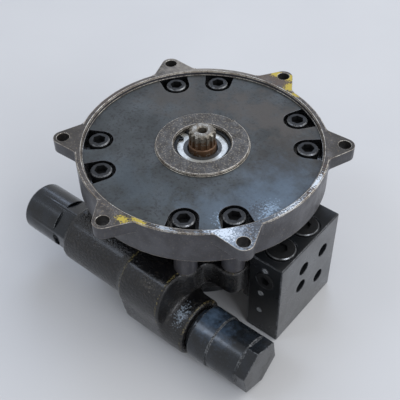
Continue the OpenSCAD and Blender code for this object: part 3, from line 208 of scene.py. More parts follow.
@dataclass(frozen=True)
class Finish:
    """One surface finish of the motor, built from noise of sizes in mm.

    Specks and pits are really 0.2 to 1 mm across. Outside, where they are part of the look, they
    are drawn up to 2.4 mm across, so that they still show when the whole motor fills the picture.

    base and second lie in broad patches, third in specks. worn lies on convex edges and corner_dark
    darkens concave corners, both read from the mesh attribute "edge" where a piece carries one.
    """

    name: str
    base: str
    second: str
    third: str
    metallic: float = 0.0
    roughness: float = 0.5
    rough_spread: float = 0.12
    patch_mm: float = 24.0
    patch_cover: float = 0.5
    speck_mm: float = 1.6
    speck_cover: float = 0.38
    grain_mm: float = 0.9
    grain_depth: float = 0.05
    lump_mm: float = 7.0
    lump_depth: float = 0.0
    ior: float = 1.5
    coat: float = 0.0
    worn: str | None = None
    corner_dark: str | None = None
    patches: tuple[Patch, ...] = ()

    # How softly the broad patches and the specks end
    BROAD_SOFT = 0.14
    SPECK_SOFT = 0.07
    # The stretch of the broad noise that the roughness follows, and the smoothest it may get
    NOISE_LOW = 0.3
    NOISE_HIGH = 0.7
    SMOOTHEST = 0.04
    # How far each noise frays corner darkening and wear, and where each begins and how softly
    SPECK_FRAY = 0.7
    BROAD_FRAY = 0.9
    CORNER_DARK_BORDER = 0.95
    CORNER_DARK_SOFT = 0.2
    WORN_BORDER = 1.8
    WORN_SOFT = 0.12
    # How metallic a finish is when it keeps a metal's IOR, and how rough the clear film on top is
    METAL_FROM = 0.5
    COAT_ROUGHNESS = 0.15

    def material(self) -> bpy.types.Material:
        """Builds the finish the first time it is asked for.

        Returns:
            Its material.
        """
        found = bpy.data.materials.get(self.name)
        if found is not None:
            return found
        material = bpy.data.materials.new(self.name)
        material.use_nodes = True
        tree = material.node_tree
        tree.nodes.clear()
        place = add_node(tree, "ShaderNodeTexCoord").outputs["Object"]
        broad, fine, grain, lumps = self._noises(tree, place)
        colour = self._layer(tree, broad, self.patch_cover, self.BROAD_SOFT,
                             linear(self.second), linear(self.base))
        colour = self._layer(tree, fine, self.speck_cover, self.SPECK_SOFT,
                             linear(self.third), colour)
        colour = self._aged(tree, colour, broad, fine)
        rough = add_node(tree, "ShaderNodeMapRange", {}, {
            "Value": broad, "From Min": self.NOISE_LOW, "From Max": self.NOISE_HIGH,
            "To Min": min(1.0, self.roughness + self.rough_spread),
            "To Max": max(self.SMOOTHEST, self.roughness - self.rough_spread)}).outputs["Result"]
        for patch in self.patches:
            colour, rough = patch.lay(tree, place, colour, rough)
        height = add_node(tree, "ShaderNodeMath", {"operation": "MULTIPLY_ADD"}, {
            0: lumps, 1: self.lump_depth / self.grain_depth, 2: grain}).outputs[0]
        bump = add_node(tree, "ShaderNodeBump", {}, {
            "Strength": 1.0, "Distance": self.grain_depth * MM, "Height": height}).outputs[0]
        shader = add_node(tree, "ShaderNodeBsdfPrincipled", {}, {
            "Base Color": colour, "Metallic": self.metallic, "Roughness": rough, "Normal": bump,
            "Coat Weight": self.coat, "Coat Roughness": self.COAT_ROUGHNESS})
        if self.metallic < self.METAL_FROM:
            shader.inputs["IOR"].default_value = self.ior
        add_node(tree, "ShaderNodeOutputMaterial", {}, {"Surface": shader.outputs[0]})
        return material

    def _noises(self, tree: Tree, place: Socket) -> list[Socket]:
        """Adds the finish's four noises, each with its size in mm, detail and roughness.

        Args:
            tree: the finish's node tree.
            place: the object coordinates.

        Returns:
            The noise of the broad patches, the specks, the grain and the lumps.
        """
        rows = ((self.patch_mm, 4.0, 0.6), (self.speck_mm, 3.0, 0.55),
                (self.grain_mm, 2.0, 0.5), (self.lump_mm, 3.0, 0.6))
        return [add_node(tree, "ShaderNodeTexNoise", {}, {
            "Vector": place, "Scale": 1.0 / (size_mm * MM), "Detail": detail,
            "Roughness": roughness}).outputs["Fac"] for size_mm, detail, roughness in rows]

    def _aged(self, tree: Tree, colour: Socket, broad: Socket, fine: Socket) -> Socket:
        """Darkens the concave corners and lays wear on the edges, where the finish has them.

        Args:
            tree: the finish's node tree.
            colour: the finish's colour so far.
            broad: the noise of its broad patches.
            fine: the noise of its specks.

        Returns:
            The colour with darkened corners and wear.
        """
        if not (self.corner_dark or self.worn):
            return colour
        frayed = add_node(tree, "ShaderNodeAttribute", {"attribute_name": "edge"}).outputs["Fac"]
        for noise, share in ((fine, self.SPECK_FRAY), (broad, self.BROAD_FRAY)):
            frayed = add_node(tree, "ShaderNodeMath", {"operation": "MULTIPLY_ADD"}, {
                0: noise, 1: share, 2: frayed}).outputs[0]
        if self.corner_dark:
            colour = self._layer(tree, frayed, self.CORNER_DARK_BORDER, self.CORNER_DARK_SOFT,
                                 linear(self.corner_dark), colour)
        if self.worn:
            colour = self._layer(tree, frayed, self.WORN_BORDER, self.WORN_SOFT,
                                 colour, linear(self.worn))
        return colour

    @staticmethod
    def _layer(tree: Tree, value: Socket, border: float, soft: float, below: object,
               above: object) -> Socket:
        """Lays two colours side by side, with a soft border where a value crosses a limit.

        Args:
            tree: the finish's node tree.
            value: the value that is looked at, such as a noise.
            border: the limit.
            soft: how far from the limit the border reaches.
            below: the colour where the value is below the limit.
            above: the colour where it is above.

        Returns:
            The colour of both.
        """
        mask = add_node(tree, "ShaderNodeMapRange", {"interpolation_type": "SMOOTHSTEP"}, {
            "Value": value, "From Min": border - soft, "From Max": border + soft}).outputs["Result"]
        return add_node(tree, "ShaderNodeMix", {"data_type": "RGBA"}, {
            0: mask, 6: below, 7: above}).outputs[2]


# Grey iron, shot blasted and then oiled: satin, slightly blue, with brown films of old oil
DISC = Finish("oiled_grey_iron", "323635", "2A2D2C", "1D1B19", roughness=0.46, rough_spread=0.12,
              patch_mm=34, speck_mm=2.4, speck_cover=0.42, grain_mm=0.9, grain_depth=0.06,
              lump_mm=4, lump_depth=0.09, ior=1.42,
              # Brown films of old oil, a painted blue reflection, painted glints with dark flecks
              patches=(Patch("3C3429", (20, 66, -4), (70, 28, 8), 0.55, 14, 0.42, 0.85, 0.2),
                       Patch("29241C", (70, 28, -4), (30, 36, 8), 0.6, 9, 0.52, 0.85, 0.25),
                       Patch("39332A", (-58, 40, -4), (40, 30, 8), 0.5, 14, 0.44, 0.7, 0.2),
                       Patch("4F6274", (84, -24, -4), (24, 38, 8), 0.7, 16, 0.3, 0.62, 0.4),
                       Patch("44525E", (58, -58, -4), (36, 22, 8), 0.5, 10, 0.36, 0.6, 0.22),
                       Patch("3C474E", (-20, -72, -4), (60, 22, 8), 0.45, 14, 0.44, 0.5, 0.22),
                       Patch("7F94A8", (74, -58, -4), (20, 14, 8), 0.3, 1.7, 0.22, 0.8),
                       Patch("7F94A8", (90, -36, -4), (12, 26, 8), 0.36, 1.7, 0.22, 0.8),
                       Patch("15171A", (84, -40, -4), (16, 26, 8), 0.36, 2.0, 0.3, 0.8)))
# Turned iron, pitted by rust under grease: dark brown, thick with paler specks
CENTRE = Finish("pitted_turned_iron", "38342F", "2D2823", "6E6659", roughness=0.5, rough_spread=0.14,
                patch_mm=7, speck_mm=1.6, speck_cover=0.41, grain_mm=0.6, grain_depth=0.09,
                lump_mm=2.2, lump_depth=0.06)
# Old yellow paint, left in dull traces
YELLOW = "AE9A34"
# Iron rim and ears: grey-brown from handling, pitted, with painted wet glints and traces of paint
RIM = Finish("rubbed_iron_rim", "3B3228", "261F18", "5F5444", roughness=0.42, rough_spread=0.16,
             patch_mm=8, patch_cover=0.52, speck_mm=2.0, speck_cover=0.41, grain_mm=1.2,
             grain_depth=0.16, lump_mm=3, lump_depth=0.16,
             # Brown films, two greasy ears, paler at the back, a painted blue reflection, painted wet
             # glints with dark flecks, one more painted glint at the front, then paint
             patches=(Patch("4B3826", (0, 112, 0), (70, 16, 4), 0.45, 6, 0.5, 0.75, 0.12),
                      Patch("42352A", (-108, 10, 0), (20, 60, 4), 0.45, 6, 0.5, 0.7, 0.12),
                      Patch("473424", (112, 20, 0), (20, 50, 4), 0.45, 6, 0.5, 0.75, 0.12),
                      Patch("241E15", (106, 77, 0), (26, 26, 4), 0.65, 6, 0.55, 0.9, 0.3),
                      Patch("282219", (-104, -74, 0), (26, 26, 4), 0.65, 6, 0.55, 0.85, 0.3),
                      Patch("857D70", (-66, 84, 0), (42, 34, 4), 0.6, 5, 0.32, 0.75, 0.3),
                      Patch("7C8896", (84, -74, 0), (26, 24, 6), 0.62, 4, 0.26, 0.8, 0.12),
                      Patch("8C98A5", (100, -30, 0), (12, 34, 6), 0.5, 3, 0.24, 0.8, 0.1),
                      Patch("C6D0DA", (80, -72, 0), (24, 22, 6), 0.26, 1.8, 0.16, 0.9),
                      Patch("D3DCE4", (104, -28, 0), (12, 36, 6), 0.3, 1.7, 0.14, 0.9),
                      Patch("D3DCE4", (104, 18, 0), (8, 20, 6), 0.34, 2.0, 0.16, 0.8),
                      Patch("1A1B1E", (98, -42, 0), (22, 50, 6), 0.34, 1.9, 0.3, 0.9),
                      Patch("9AA4AE", (46, -97, 0), (26, 5, 6), 0.4, 1.9, 0.2, 0.8),
                      Patch(YELLOW, (11, -109.5, 0), (8, 4.5, 3), 0.5, 1.5, 0.6),
                      Patch(YELLOW, (22, -103.5, 0), (10, 3.5, 3), 0.55, 1.5, 0.6),
                      Patch(YELLOW, (-7, 119, 0), (9, 6, 3), 0.55, 1.5, 0.6),
                      Patch(YELLOW, (7, 122, 0), (6, 8, 3), 0.55, 1.5, 0.6),
                      Patch(YELLOW, (15, 110, 0), (7, 8, 3), 0.6, 1.5, 0.6),
                      Patch(YELLOW, (25, 102.5, 0), (7, 4, 3), 0.4, 1.4, 0.6)))
# The flange's edges, rubbed to bare iron by handling: thin pale lines
RIM_EDGE = Finish("rubbed_bright_edge", "BDB7AC", "7D746A", "47403A", roughness=0.34, patch_mm=9,
                  speck_mm=1.2, speck_cover=0.42, metallic=0.4, grain_depth=0.03)
# The flange's outer wall: thin black paint over shot-blasted iron, dark grey and finely rough
WALL = Finish("thin_black_paint_on_iron", "3E3E43", "2F2E32", "5C564E", roughness=0.44,
              rough_spread=0.12, patch_mm=18, speck_mm=1.4, speck_cover=0.34, grain_mm=1.0,
              grain_depth=0.12, lump_mm=4, lump_depth=0.16, coat=0.2)
# Screw pockets and corners full of old oil: black and wet, and painted near black for their shade
OIL_AND_SHADE = Finish("black_oil_and_painted_shade", "131416", "0C0D0E", "1F1D1A", roughness=0.2, rough_spread=0.08,
               patch_mm=6, speck_mm=1.2, speck_cover=0.36, grain_depth=0.05, coat=0.6)
# The ear holes' walls: rust and old grease, painted dark for the shade inside the holes
HOLE_GREASE_AND_SHADE = Finish("greasy_hole_painted_shade", "1E1B19", "151413", "2F2823", roughness=0.6, patch_mm=4,
              speck_mm=1.4, speck_cover=0.4, grain_depth=0.06)
# Dust that dried on old oil: yellow-brown and dull
DUST = "6E6339"
# Cast iron under thick black paint: soft lumps, gloss on the crests, yellow-brown dust on edges
CAST_BLACK = Finish("black_painted_casting", "101012", "0B0B0C", "272420", roughness=0.2,
                    rough_spread=0.12, patch_mm=16, speck_mm=2.4, speck_cover=0.4, grain_mm=1.1,
                    grain_depth=0.16, lump_mm=2.4, lump_depth=1.1, ior=1.42, coat=0.3, worn="5E533B",
                    # Concave corners slightly darker than the paint around them
                    corner_dark="0D0D0E",
                    # Dust along the edges of the valve part, then painted wet glints on it
                    patches=(
                        Patch(DUST, (3.2, -86.8, -85), (2.6, 40, 38), 0.5, 1.7, 0.6, 0.8),
                        Patch(DUST, (44.4, -86.8, -80), (1.4, 38, 34), 0.5, 1.7, 0.6, 0.8),
                        Patch(DUST, (65.2, -86.8, -110), (1.2, 34, 34), 0.4, 1.7, 0.6, 0.7),
                        Patch("8894A0", (57, -96, -97), (9, 18, 13), 0.34, 1.5, 0.14, 0.8),
                        Patch("5B564E", (30, -105, -68), (16, 10, 9), 0.3, 1.6, 0.16, 0.7)))
# Turned steel caps, black oxide under oil: glossy, with bright scuffs at the edges
CAP = Finish("glossy_black_cap", "1B2026", "101316", "2D333A", roughness=0.26, rough_spread=0.12,
             patch_mm=14, speck_mm=1.3, speck_cover=0.34, grain_mm=0.8, grain_depth=0.035,
             lump_mm=5, lump_depth=0.06, ior=1.4, coat=0.35,
             # Painted bluish reflections on the right cap
             patches=(Patch("4E5F72", (78, -86, -95), (9, 14, 6), 0.6, 5, 0.2, 0.85, 0.35),
                      Patch("3C4B5C", (93, -90, -96), (13, 13, 7), 0.5, 4, 0.2, 0.8, 0.3)))
# The caps' edges, scuffed through the oxide: broken grey lines
CAP_EDGE = Finish("scuffed_cap_edge", "6C6E70", "33363A", "1C1E21", roughness=0.32, metallic=0.3,
                  patch_mm=8, speck_mm=1.1, speck_cover=0.5, grain_depth=0.03)
# Milled block, black paint worn to a satin
BLOCK = Finish("satin_black_block", "16181B", "111315", "26272A", roughness=0.32, rough_spread=0.09,
               patch_mm=26, speck_mm=1.0, speck_cover=0.3, grain_mm=0.7, grain_depth=0.03,
               lump_mm=4, lump_depth=0.035, coat=0.2)
# The block's edges, rubbed through the paint: fine grey lines
BLOCK_EDGE = Finish("rubbed_block_edge", "56595D", "2B2E31", "1D1F22", roughness=0.36, metallic=0.2,
                    patch_mm=7, speck_mm=1.2, speck_cover=0.5, grain_depth=0.03)
# The block's outer face, where the paint is rubbed thin and grey, and painted lighter
# for the light that falls on this side
BLOCK_FACE_WORN_AND_LIT = Finish("rubbed_block_face_and_painted_light", "2E3135", "26292C", "3C3E41", roughness=0.3,
                    rough_spread=0.08, patch_mm=22, speck_mm=2.0, speck_cover=0.36, grain_mm=0.7,
                    grain_depth=0.03, lump_mm=4, lump_depth=0.035, coat=0.5)
# Black oxide on rolled steel, oiled: near black and half dull
SCREW = Finish("black_oxide_screw", "131416", "0C0D0E", "35322E", roughness=0.52, rough_spread=0.08,
               ior=1.38, patch_mm=5, speck_mm=0.9, speck_cover=0.34, grain_depth=0.03)
# The screw heads' edges, where tools have rubbed the oxide off: small bright glints
SCREW_EDGE = Finish("rubbed_oxide_edge", "7C7E80", "4A4B4D", "2A2A2B", roughness=0.28, metallic=0.6,
                    patch_mm=4, speck_mm=0.9, speck_cover=0.42, grain_depth=0.02)
# The shaft seal's pressed steel case: a bright ring, nearly even
BRIGHT = Finish("bright_pressed_steel", "BFBFBA", "A5A6A2", "777775", roughness=0.3, metallic=0.3,
                patch_mm=5, speck_mm=0.8, speck_cover=0.3, grain_depth=0.012)
# Ground steel shaft: grey, with brown grease left between and under its teeth
SHAFT = Finish("greasy_ground_shaft", "8E8A81", "6B6358", "40362C", roughness=0.38, metallic=0.5,
               patch_mm=4, speck_mm=0.9, speck_cover=0.42, grain_depth=0.03,
               patches=(Patch("5A3D24", (0, 0, -1.5), (19, 19, 6), 0.95, 2.4, 0.4, 0.9),))
# Hardened and ground steel inside: pale, smooth and even
GROUND = Finish("ground_steel", "A9ABAC", "97999B", "85878A", roughness=0.26, metallic=0.9,
                patch_mm=10, speck_mm=0.8, grain_depth=0.01)
# Cast bronze, machined: warm yellow-brown, satin
BRONZE = Finish("cast_bronze", "A9813F", "93702F", "7A5C28", roughness=0.38, metallic=0.9,
                patch_mm=9, speck_mm=0.8, grain_depth=0.02)
# Drawn spring wire under oil: dark and smooth
SPRING = Finish("dark_spring_wire", "45484B", "35373A", "5B5D5F", roughness=0.34, metallic=0.7,
                patch_mm=6, speck_mm=0.7, grain_depth=0.015)
# Moulded black rubber: even and dull
RUBBER = Finish("black_seal_rubber", "1D1D1E", "171718", "272727", roughness=0.62, patch_mm=6,
                speck_mm=0.7, grain_depth=0.02)
# The shaft seal's moulded lip, greyed by dust: even and half dull
SEAL_RUBBER = Finish("grey_lip_rubber", "3A3B3C", "2D2E2F", "4B4A48", roughness=0.5, patch_mm=5,
                     speck_mm=0.7, grain_depth=0.02)
# Pressed friction lining: brown and quite dull, with coarse flecks
LINING = Finish("brown_friction_lining", "5B4632", "4A3928", "6E573F", roughness=0.8, patch_mm=5,
                speck_mm=0.9, speck_cover=0.44, grain_depth=0.05)
# Plated steel plugs: small, pale and shiny
PLUG_STEEL = Finish("bright_gallery_plug", "C9CDD0", "AEB3B7", "6B6E71", roughness=0.3,
                    metallic=0.7, patch_mm=3, speck_mm=0.7, grain_depth=0.02)


class Slot(Enum):
    """The record's material slots, each with the finish that bare CAD nodes of it take."""

    CAST_GREY = ("cast_grey", WALL)
    CAST_BLACK = ("cast_black", CAST_BLACK)
    BLOCK_BLACK = ("block_black", BLOCK)
    CAP_BLACK = ("cap_black", CAP)
    SCREW_BLACK = ("screw_black", SCREW)
    BRIGHT = ("bright", BRIGHT)
    SHAFT_STEEL = ("shaft_steel", SHAFT)
    GROUND = ("ground", GROUND)
    BRONZE = ("bronze", BRONZE)
    SPRING_STEEL = ("spring_steel", SPRING)
    RUBBER = ("rubber", RUBBER)
    SEAL_RUBBER = ("seal_rubber", SEAL_RUBBER)
    LINING = ("lining", LINING)

    @property
    def slot_name(self) -> str:
        """The slot's name in the record."""
        return self.value[0]

    @property
    def finish(self) -> Finish:
        """The finish of bare CAD nodes in this slot."""
        return self.value[1]


# Meshes taken from the solids


def welded(node: str) -> bmesh.types.BMesh:
    """A smooth copy of a CAD node's mesh, with its loose triangles joined.

    Args:
        node: the CAD node's name.

    Returns:
        The copy, owned by the caller.
    """
    mesh = bmesh.new()
    mesh.from_mesh(FRAME["nodes"][node].data)
    bmesh.ops.remove_doubles(mesh, verts=mesh.verts, dist=WELD)
    for face in mesh.faces:
        face.smooth = True
        face.material_index = 0
    return mesh


def flat_faced(node: str) -> bmesh.types.BMesh:
    """A welded copy of a CAD node's mesh, with the triangles of each flat face joined.

    Args:
        node: the CAD node's name.

    Returns:
        The copy, owned by the caller.
    """
    mesh = welded(node)
    bmesh.ops.dissolve_limit(mesh, angle_limit=math.radians(FLAT_DEGREES), verts=mesh.verts,
                             edges=mesh.edges)
    return mesh


def loose_parts(node: str) -> list[tuple[Vector, Vector]]:
    """Boxes of the separate solids in a CAD node.

    Args:
        node: the CAD node's name.

    Returns:
        The lowest and highest corner of each.
    """
    mesh = welded(node)
    mesh.verts.ensure_lookup_table()
    seen: set[int] = set()
    parts = []
    for start in mesh.verts:
        if start.index in seen:
            continue
        stack, low, high = [start], start.co.copy(), start.co.copy()
        seen.add(start.index)
        while stack:
            vert = stack.pop()
            for axis in Axis:
                low[axis] = min(low[axis], vert.co[axis])
                high[axis] = max(high[axis], vert.co[axis])
            for edge in vert.link_edges:
                other = edge.other_vert(vert)
                if other.index not in seen:
                    seen.add(other.index)
                    stack.append(other)
        parts.append((low, high))
    mesh.free()
    return sorted(parts, key=lambda p: tuple(round(c, PLACE_DIGITS) for c in p[0] + p[1]))


def new_object(name: str, data: bpy.types.ID) -> bpy.types.Object:
    """Links a new object at the origin.

    Args:
        name: its name.
        data: its mesh, lamp or camera.

    Returns:
        The object.
    """
    item = bpy.data.objects.new(name, data)
    bpy.context.scene.collection.objects.link(item)
    return item


def mesh_object(name: str, shape: bmesh.types.BMesh) -> bpy.types.Object:
    """Turns a shape into the mesh of a new object, and frees the shape.

    Args:
        name: the object's name.
        shape: the shape.

    Returns:
        The object.
    """
    mesh = bpy.data.meshes.new(name)
    shape.to_mesh(mesh)
    shape.free()
    return new_object(name, mesh)


def apply_modifiers(item: bpy.types.Object) -> None:
    """Turns an object's modified shape into its own plain mesh and drops the modifiers.

    Args:
        item: the object.
    """
    graph = bpy.context.evaluated_depsgraph_get()
    graph.update()
    baked = bpy.data.meshes.new_from_object(item.evaluated_get(graph))
    item.modifiers.clear()
    item.data = baked


@dataclass
class Piece:
    """One visible piece that stands for CAD nodes and rides on their body."""

    name: str
    nodes: tuple[str, ...]
    body: str
    slot: Slot

    def place(self, item: bpy.types.Object) -> None:
        """Sets the piece on its body in place of its nodes, and reports it.

        Args:
            item: the piece's object.
        """
        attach(item, self.body)
        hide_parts(*self.nodes)
        LOG.info("%s: %d faces on %s", item.name, len(item.data.polygons), self.body)


@dataclass
class MachinedPiece(Piece):
    """A piece cut to size: its solid's shape with small rounded edges that are rubbed bright.

    zone picks the finish of each face that isn't a rounded edge, and dull_edge says where such an
    edge isn't bright and takes the finish of its zone. Both get the face's centre in mm and its
    normal.
    """

    finish: Finish = CAP
    edge_finish: Finish = CAP_EDGE
    edge_mm: float = 0.5
    extra: tuple[Finish, ...] = ()
    zone: Callable[[Vector, Vector], int] | None = None
    dull_edge: Callable[[Vector, Vector], bool] | None = None

    # The places of the first two finishes in the piece's list
    PLAIN = 0
    EDGE = 1
    # Edges that turn by more than this are rounded, and those that then turn by more stay sharp
    ROUND_DEGREES = 32
    SHARP_DEGREES = 36
    FLAT_WEIGHT = 100

    def build(self) -> bpy.types.Object:
        """Makes the piece.

        Returns:
            The finished object.
        """
        item = mesh_object(self.name, flat_faced(self.nodes[0]))
        for finish in (self.finish, self.edge_finish, *self.extra):
            item.data.materials.append(finish.material())
        bevel = item.modifiers.new("edges", "BEVEL")
        bevel.width = self.edge_mm * MM
        bevel.segments = 2
        bevel.limit_method = "ANGLE"
        bevel.angle_limit = math.radians(self.ROUND_DEGREES)
        bevel.use_clamp_overlap = False
        bevel.material = self.EDGE
        apply_modifiers(item)
        item.data.set_sharp_from_angle(angle=math.radians(self.SHARP_DEGREES))
        flatten = item.modifiers.new("flat_faces", "WEIGHTED_NORMAL")
        flatten.mode = "FACE_AREA"
        flatten.weight = self.FLAT_WEIGHT
        flatten.keep_sharp = True
        apply_modifiers(item)
        low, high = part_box(self.nodes[0])
        for vert in item.data.vertices:
            vert.co = [min(max(c, a), b) for c, a, b in zip(vert.co, low, high)]
        if self.zone is not None:
            for face in item.data.polygons:
                place = face.center / MM
                dull = self.dull_edge is not None and self.dull_edge(place, face.normal)
                if face.material_index == self.PLAIN or dull:
                    face.material_index = self.zone(place, face.normal)
        self.place(item)
        return item


@dataclass
class CastPiece(Piece):
    """A cast piece: its solid remeshed, with round edges, filled corners and an uneven skin."""

    finish: Finish = CAST_BLACK
    voxel_mm: float = 1.6
    fill_rounds: int = 26
    fill_here: Callable[[np.ndarray], np.ndarray] | None = None

    # How far a round moves each point towards its neighbours: in the first rounds, and later in a
    # corner that fills up, and elsewhere
    FIRST_ROUNDS = 2
    FIRST_SHARE = 0.5
    FILL_SHARE = 0.7
    KEEP_SHARE = 0.02
    # After this many rounds the normals are worked out again
    NORMAL_ROUNDS = 4
    # How convexity is spread over the neighbours, and how steeply it becomes the edge value
    SPREAD_ROUNDS = 2
    OWN_SHARE = 0.4
    EDGE_GAIN = 3.4
    EDGE_MIDDLE = 0.5

    def build(self) -> bpy.types.Object:
        """Makes the piece.

        Returns:
            The finished object.
        """
        item = mesh_object(self.name, flat_faced(self.nodes[0]))
        remesh = item.modifiers.new("skin", "REMESH")
        remesh.mode = "VOXEL"
        remesh.voxel_size = self.voxel_mm * MM
        remesh.adaptivity = 0.0
        apply_modifiers(item)
        self._soften(item.data)
        item.data.materials.append(self.finish.material())
        item.data.shade_smooth()
        self.place(item)
        return item

    def _soften(self, mesh: bpy.types.Mesh) -> None:
        """Rounds the edges, fills the inner corners and stores how convex each place is.

        Args:
            mesh: the remeshed solid.
        """
        count = len(mesh.vertices)
        place = np.empty(count * 3, np.float32)
        mesh.vertices.foreach_get("co", place)
        place = place.reshape(-1, 3).astype(np.float64)
        ends = np.empty(len(mesh.edges) * 2, np.int32)
        mesh.edges.foreach_get("vertices", ends)
        ends = ends.reshape(-1, 2)
        degree = np.bincount(ends.ravel(), minlength=count).astype(float)
        low, high = place.min(0), place.max(0)
        allowed = self.fill_here(place / MM) if self.fill_here else np.ones(count, bool)

        def mean(values: np.ndarray) -> np.ndarray:
            """The mean of a value over each point's neighbours.

            Args:
                values: one number or vector for each point.

            Returns:
                The means, in the same shape.
            """
            total = np.zeros_like(values)
            np.add.at(total, ends[:, 0], values[ends[:, 1]])
            np.add.at(total, ends[:, 1], values[ends[:, 0]])
            return (total.T / degree).T

        def normals(points: np.ndarray) -> np.ndarray:
            """The mesh's normals with its points at these places.

            Args:
                points: the places in metres, one to a row.

            Returns:
                The normals, one to a row.
            """
            mesh.vertices.foreach_set("co", points.astype(np.float32).ravel())
            mesh.update()
            out = np.empty(count * 3, np.float32)
            mesh.vertex_normals.foreach_get("vector", out)
            return out.reshape(-1, 3).astype(np.float64)

        for _ in range(self.FIRST_ROUNDS):
            place += self.FIRST_SHARE * (mean(place) - place)
        for step in range(self.fill_rounds):
            if step % self.NORMAL_ROUNDS == 0:
                normal = normals(place)
            move = mean(place) - place
            rise = (move * normal).sum(1)
            share = np.where((rise > 0) & allowed, self.FILL_SHARE, self.KEEP_SHARE)
            place += share[:, None] * move
        place = np.clip(place, low, high)
        normal = normals(place)
        convex = -((mean(place) - place) * normal).sum(1) / (self.voxel_mm * MM)
        for _ in range(self.SPREAD_ROUNDS):
            convex = self.OWN_SHARE * convex + (1 - self.OWN_SHARE) * mean(convex)
        edge = mesh.attributes.new("edge", "FLOAT", "POINT")
        value = np.clip(self.EDGE_MIDDLE + convex * self.EDGE_GAIN, 0, 1)
        edge.data.foreach_set("value", value.astype(np.float32))


@dataclass
class CoilSpring(Piece):
    """A coil spring, or a set of springs, copied from its solid and shaded smooth.

    The fixed end and the travel are in mm.
    """

    joint: str = ""
    axis: Axis = Axis.Z
    fixed_end: float = 0.0
    travel: float = 1.0

    SHARP_DEGREES = 50

    def build(self) -> bpy.types.Object:
        """Makes the spring, or the set of springs.

        Returns:
            The finished object.
        """
        item = mesh_object(self.name, welded(self.nodes[0]))
        item.data.materials.append(SPRING.material())
        item.data.set_sharp_from_angle(angle=math.radians(self.SHARP_DEGREES))
        self.place(item)
        direction, anchor = Vector(), Vector()
        direction[self.axis] = 1.0
        anchor[self.axis] = self.fixed_end * MM
        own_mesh(item)
        return item


# Fasteners


